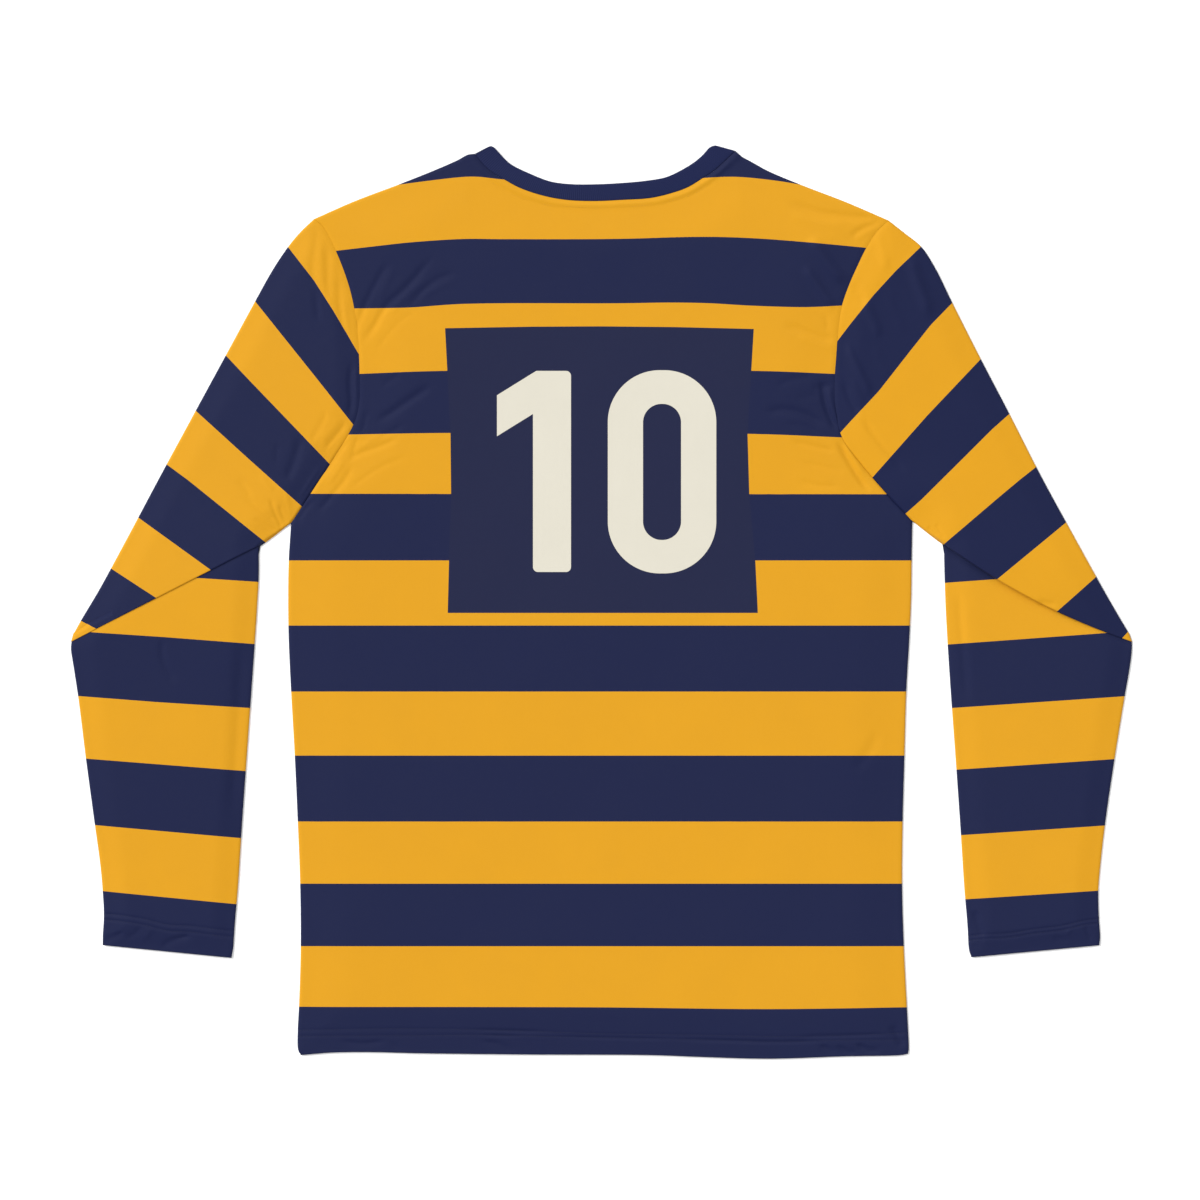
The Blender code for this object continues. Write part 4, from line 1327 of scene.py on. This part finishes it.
def make_stitches(name, lines, face, material):
    """Rows of short raised stitches: one is modelled, and repeated along the lines in one mesh.

    face gives the height of the cloth at plan points.
    """
    length = settings().stitch
    bpy.ops.object.select_all(action="DESELECT")
    bpy.ops.mesh.primitive_uv_sphere_add(segments=6, ring_count=4, radius=0.5)
    stitch = bpy.context.object
    shape = np.array([vertex.co for vertex in stitch.data.vertices])
    shape = shape[:, [2, 0, 1]] * (STITCH_SHARE * length, THREAD_WIDTH, THREAD_HEIGHT)
    polygons = [tuple(polygon.vertices) for polygon in stitch.data.polygons]
    bpy.data.objects.remove(stitch, do_unlink=True)
    points, faces = [], []
    for line in lines:
        count = int(path_lengths(line)[-1] / length)
        middles, ends = (at_shares(line, (np.arange(count) + share) / count) for share in (0.5, 0.6))
        for middle, direction, level in zip(middles, unit(ends - middles), face(middles)):
            across = np.array([-direction[1], direction[0]])
            plan = middle + shape[:, :1] * direction + shape[:, 1:2] * across
            faces += [tuple(index + len(points) for index in polygon) for polygon in polygons]
            points += np.column_stack([plan, level + shape[:, 2] - THREAD_SUNK]).tolist()
    return solid_piece(name, points, faces, material)


# Materials


class Value:
    """A socket's value in a shader, so that its maths reads as an expression."""

    def __init__(self, tree, socket):
        self.tree = tree
        self.socket = socket

    def maths(self, operation, *others):
        return self.tree.node("ShaderNodeMath", {"operation": operation}, [self, *others])[0]

    def __add__(self, other):
        return self.maths("ADD", other)

    def __sub__(self, other):
        return self.maths("SUBTRACT", other)

    def __mul__(self, other):
        return self.maths("MULTIPLY", other)

    def __truediv__(self, other):
        return self.maths("DIVIDE", other)

    def __gt__(self, other):
        return self.maths("GREATER_THAN", other)

    def __lt__(self, other):
        return self.maths("LESS_THAN", other)

    def __rsub__(self, other):
        return self.tree.node("ShaderNodeMath", {"operation": "SUBTRACT"}, [other, self])[0]

    __radd__ = __add__
    __rmul__ = __mul__

    def largest(self, other):
        return self.maths("MAXIMUM", other)


class Shader:
    """A material's nodes, each made by one method."""

    def __init__(self, name):
        self.material = bpy.data.materials.new(name)
        self.material.use_nodes = True
        self.nodes = self.material.node_tree.nodes
        self.links = self.material.node_tree.links
        self.surface = self.nodes["Principled BSDF"]

    def set(self, socket, value):
        if isinstance(value, Value):
            self.links.new(value.socket, socket)
        else:
            socket.default_value = value

    def node(self, kind, options, values):
        """Node of a kind, its options set first. values are in the order of its sockets, or by name."""
        node = self.nodes.new(kind)
        for option, value in options.items():
            setattr(node, option, value)
        items = values.items() if isinstance(values, dict) else enumerate(values)
        for key, value in items:
            self.set(node.inputs[key], value)
        return [Value(self, output) for output in node.outputs if output.enabled]

    def parts(self, vector):
        return self.node("ShaderNodeSeparateXYZ", {}, [vector])

    def place(self):
        """Place on the object, in metres."""
        return self.node("ShaderNodeTexCoord", {}, [])[3]

    def noise(self, scale, detail, roughness=0.5):
        values = {"Vector": self.place(), "Scale": scale, "Detail": detail, "Roughness": roughness}
        return self.node("ShaderNodeTexNoise", {}, values)[0]

    def mix(self, factor, first, second):
        """Colour mixed from two by a factor."""
        node = self.nodes.new("ShaderNodeMix")
        node.data_type = "RGBA"
        self.set(node.inputs["Factor"], factor)
        for socket, value in ((node.inputs[6], first), (node.inputs[7], second)):
            self.set(socket, value if isinstance(value, Value) else (*value, 1.0))
        return Value(self, node.outputs[2])

    def scaled(self, colour, factor):
        """Colour made lighter or darker by a factor."""
        values = {"Vector": colour, "Scale": factor}
        return self.node("ShaderNodeVectorMath", {"operation": "SCALE"}, values)[0]

    def knit_ways(self):
        """Places across and along the knit, in metres."""
        return self.parts(self.node("ShaderNodeUVMap", {"uv_map": "weave"}, [])[0])[:2]

    def knit_height(self, wale):
        """Height of a plain knit's stitches: a V of two legs in each wale."""
        u, v = self.knit_ways()
        across = (u / (wale * METRES)).maths("PINGPONG", 0.5)
        course = v / (wale * METRES * COURSE_SHARE)
        legs = (across * 2.0 * math.pi).maths("SINE")
        slant = ((course + across * LEG_LEAN) * 2.0 * math.pi).maths("SINE")
        return legs * ((1.0 - SLANT_SHARE) + SLANT_SHARE * slant)

    def finish(self, colour, height, depth, roughness, sheen, specular):
        """The finished material. depth is how far its bumps stand out."""
        values = {"Strength": 1.0, "Distance": depth * METRES, "Height": height}
        bump = self.node("ShaderNodeBump", {}, values)[0]
        for socket, value in (
            ("Base Color", colour),
            ("Normal", bump),
            ("Roughness", roughness),
            ("Specular IOR Level", specular),
            ("Sheen Weight", sheen),
            ("Sheen Roughness", 0.5),
        ):
            self.set(self.surface.inputs[socket], value)
        return self.material


def past_middle(place, low, high, corner):
    """How far past the straight part of a side, which ends a corner short at both ends."""
    return ((place - (low + high) / 2.0).maths("ABSOLUTE") - ((high - low) / 2.0 - corner)).largest(0.0)


def rounded_box(x, y, box):
    """1 inside a box with round corners."""
    beyond_x = past_middle(x, box.left, box.right, box.corner)
    beyond_y = past_middle(y, box.bottom, box.top, box.corner)
    return (beyond_x * beyond_x + beyond_y * beyond_y) < box.corner**2


def figure_one(x, y):
    """Figure 1 in plain block lettering, with a sloping flag."""
    rise = y - ONE_SLOPE * x
    flag = (x > ONE_FLAG[0]) * (x < ONE_FLAG[1]) * (y < ONE_STEM.top)
    flag = flag * (rise > ONE_SLOPE_BAND[0]) * (rise < ONE_SLOPE_BAND[1])
    return rounded_box(x, y, ONE_STEM).largest(flag)


def figure_nought(x, y):
    """Figure 0 in plain block lettering."""
    return rounded_box(x, y, NOUGHT_OUTSIDE) * (1.0 - rounded_box(x, y, NOUGHT_INSIDE))


def knit_material(name, numbered):
    """Printed knit in yellow and navy stripes, with the number block where it is numbered."""
    jersey = settings()
    shader = Shader(name)
    pattern = shader.node("ShaderNodeAttribute", {"attribute_name": "pattern"}, [])[1]
    stripe, across, along = shader.parts(pattern)
    odd = (stripe * 0.5).maths("FRACT") > 0.5
    colour = shader.mix(odd, tuple(jersey.yellow), tuple(jersey.navy))
    if numbered:
        block = (across > 0.0) * (along > 0.0)
        colour = shader.mix(block, colour, tuple(jersey.block))
        x, y = (part / METRES for part in shader.parts(shader.place())[:2])
        figures = figure_one(x, y).largest(figure_nought(x, y))
        colour = shader.mix(figures, colour, tuple(jersey.figures))
    knit = shader.knit_height(jersey.wale)
    mottle = shader.noise(scale=28.0, detail=3.0, roughness=0.6)
    fuzz = shader.noise(scale=900.0, detail=2.0, roughness=0.7)
    # Painted shade in the knit: the colour is darker in the hollows between the stitches' legs and lighter on
    # them. The mottle beside it is a random change of tone.
    colour = shader.scaled(colour, 0.95 + 0.05 * knit + 0.05 * mottle)
    roughness = 0.52 + 0.08 * mottle
    return shader.finish(colour, knit + 0.5 * fuzz, 0.09, roughness, sheen=0.02, specular=0.14)


def rib_material(name):
    """Navy rib knit: raised ribs across the band."""
    jersey = settings()
    shader = Shader(name)
    knit = shader.knit_height(RIB_WALE_SHARE * jersey.wale)
    ribs = ((shader.knit_ways()[0] / (jersey.rib * METRES)) * 2.0 * math.pi).maths("SINE")
    shade = tuple(0.9 * part for part in jersey.navy)
    base = shader.mix(shader.noise(scale=60.0, detail=3.0), tuple(jersey.navy), shade)
    # Painted shade across the rib: the colour is a little lighter on the ribs' crests and darker between
    # them. The 1.2 lifts the whole navy tone.
    colour = shader.scaled(base, 1.2 + 0.03 * ribs)
    return shader.finish(colour, ribs + 0.3 * knit, 0.1, 0.7, sheen=0.04, specular=0.16)


def thread_material(name, colour):
    """Twisted sewing thread."""
    shader = Shader(name)
    values = {"Vector": shader.place(), "Scale": 900.0}
    twist = shader.node("ShaderNodeTexWave", {"bands_direction": "DIAGONAL"}, values)[1]
    # Painted shade along the twist: the colour is darker in the grooves between the plies and lighter on
    # them.
    colour = shader.scaled(colour, 0.88 + 0.16 * twist)
    return shader.finish(colour, twist, 0.05, 0.6, sheen=0.1, specular=0.2)


def floor_material(name):
    """Pale, plain and matt."""
    shader = Shader(name)
    grain = shader.noise(scale=300.0, detail=2.0)
    colour = shader.scaled((0.93, 0.93, 0.93), 0.99 + 0.02 * grain)
    return shader.finish(colour, grain, 0.01, 0.9, sheen=0.0, specular=0.1)


def material(name, make, *options):
    """The material of that name, made at its first use."""
    return bpy.data.materials.get(name) or make(name, *options)


# Operators


def place(piece, slot, *nodes):
    """Hangs a piece on the frame's only body."""
    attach(piece, "root")
    if nodes:
        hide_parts(*nodes)


class JERSEY_OT_back(Operator):
    """Make the back panel with its stripes and number block"""

    bl_idname = "jersey.back"
    bl_label = "Back panel"

    def execute(self, context):
        piece = make_back(material("numbered_striped_knit", knit_material, True))
        place(piece, "striped_knit", "back")
        return {"FINISHED"}


class JERSEY_OT_front(Operator):
    """Make the front panel, which lies on the surface"""

    bl_idname = "jersey.front"
    bl_label = "Front panel"

    def execute(self, context):
        piece = make_front(material("plain_striped_knit", knit_material, False))
        place(piece, "striped_knit", "front")
        return {"FINISHED"}


class JERSEY_OT_sleeves(Operator):
    """Make both sleeves, each laid over at the elbow"""

    bl_idname = "jersey.sleeves"
    bl_label = "Sleeves"

    def execute(self, context):
        knit = material("plain_striped_knit", knit_material, False)
        for side, left in (("left", True), ("right", False)):
            piece = make_sleeve("sleeve_" + side + "_cloth", left, knit)
            place(piece, "striped_knit", "sleeve_" + side)
        return {"FINISHED"}


class JERSEY_OT_neckband(Operator):
    """Make the ribbed neckband"""

    bl_idname = "jersey.neckband"
    bl_label = "Neckband"

    def execute(self, context):
        piece = make_neckband(material("ribbed_navy_knit", rib_material))
        place(piece, "navy_rib", "neckband")
        return {"FINISHED"}


class JERSEY_OT_stitching(Operator):
    """Sew the hem, the cuffs and the neck seam"""

    bl_idname = "jersey.stitching"
    bl_label = "Stitching"

    def execute(self, context):
        navy = material("navy_sewing_thread", thread_material, NAVY_THREAD)
        yellow = material("yellow_sewing_thread", thread_material, YELLOW_THREAD)
        hem, collar = hem_lines(), [smooth_path(COLLAR_STITCHES)]
        piece = make_stitches("hem_stitches", hem, lambda points: back_face(points, hem), navy)
        place(piece, "navy_thread")
        for side, left in (("left", True), ("right", False)):
            shape = SleeveShape(left)
            piece = make_stitches("cuff_stitches_" + side, shape.cuff_lines, shape.sewn_face, navy)
            place(piece, "navy_thread")
        piece = make_stitches("collar_stitches", collar, lambda points: back_face(points, collar), yellow)
        place(piece, "yellow_thread")
        return {"FINISHED"}


class JERSEY_OT_stage(Operator):
    """Set out the floor, the lights and the camera"""

    bl_idname = "jersey.stage"
    bl_label = "Stage"

    def execute(self, context):
        jersey = settings()
        scene = context.scene
        bpy.ops.object.select_all(action="DESELECT")
        bpy.ops.mesh.primitive_plane_add(size=FLOOR_SIZE, location=(0.0, 0.0, FLOOR_LEVEL))
        floor = context.object
        floor.name = "floor"
        floor.data.materials.append(floor_material("studio_floor"))
        world = bpy.data.worlds.new("soft_studio")
        scene.world = world
        world.use_nodes = True
        sky = world.node_tree.nodes["Background"]
        sky.inputs["Color"].default_value = (1.0, 1.0, 1.0, 1.0)
        sky.inputs["Strength"].default_value = jersey.light
        bpy.ops.object.light_add(type="SUN", location=LAMP_PLACE)
        lamp = context.object
        lamp.name = "soft_lamp"
        lamp.data.angle = math.radians(LAMP_ANGLE)
        lamp.data.energy = jersey.lamp
        lamp.rotation_euler = (-lamp.location).to_track_quat("-Z", "Y").to_euler()
        bpy.ops.object.camera_add(location=CAMERA_PLACE, rotation=(0.0, 0.0, 0.0))
        camera = context.object
        camera.name = "camera"
        camera.data.sensor_width = SENSOR_WIDTH
        camera.data.lens = SENSOR_WIDTH * CAMERA_PLACE[2] / VIEW_WIDTH
        camera.data.clip_end = CLIP_END
        scene.camera = camera
        scene.view_settings.view_transform = "Standard"
        return {"FINISHED"}


class JERSEY_PT_panel(Panel):
    """Buttons and settings for the jersey"""

    bl_label = "Striped Jersey"
    bl_idname = "JERSEY_PT_panel"
    bl_space_type = "VIEW_3D"
    bl_region_type = "UI"
    bl_category = "Jersey"

    def draw(self, context):
        for name in JerseySettings.__annotations__:
            self.layout.prop(context.scene.jersey, name)
        for operator in OPERATORS:
            self.layout.operator(operator.bl_idname)


OPERATORS = (
    JERSEY_OT_front,
    JERSEY_OT_back,
    JERSEY_OT_sleeves,
    JERSEY_OT_neckband,
    JERSEY_OT_stitching,
    JERSEY_OT_stage,
)
CLASSES = (JerseySettings, *OPERATORS, JERSEY_PT_panel)


def register():
    for item in CLASSES:
        bpy.utils.register_class(item)
    bpy.types.Scene.jersey = PointerProperty(type=JerseySettings)


def unregister():
    del bpy.types.Scene.jersey
    for item in reversed(CLASSES):
        bpy.utils.unregister_class(item)


def main():
    register()
    bpy.ops.jersey.front()
    bpy.ops.jersey.back()
    bpy.ops.jersey.sleeves()
    bpy.ops.jersey.neckband()
    bpy.ops.jersey.stitching()
    bpy.ops.jersey.stage()


if __name__ == "__main__":
    main()
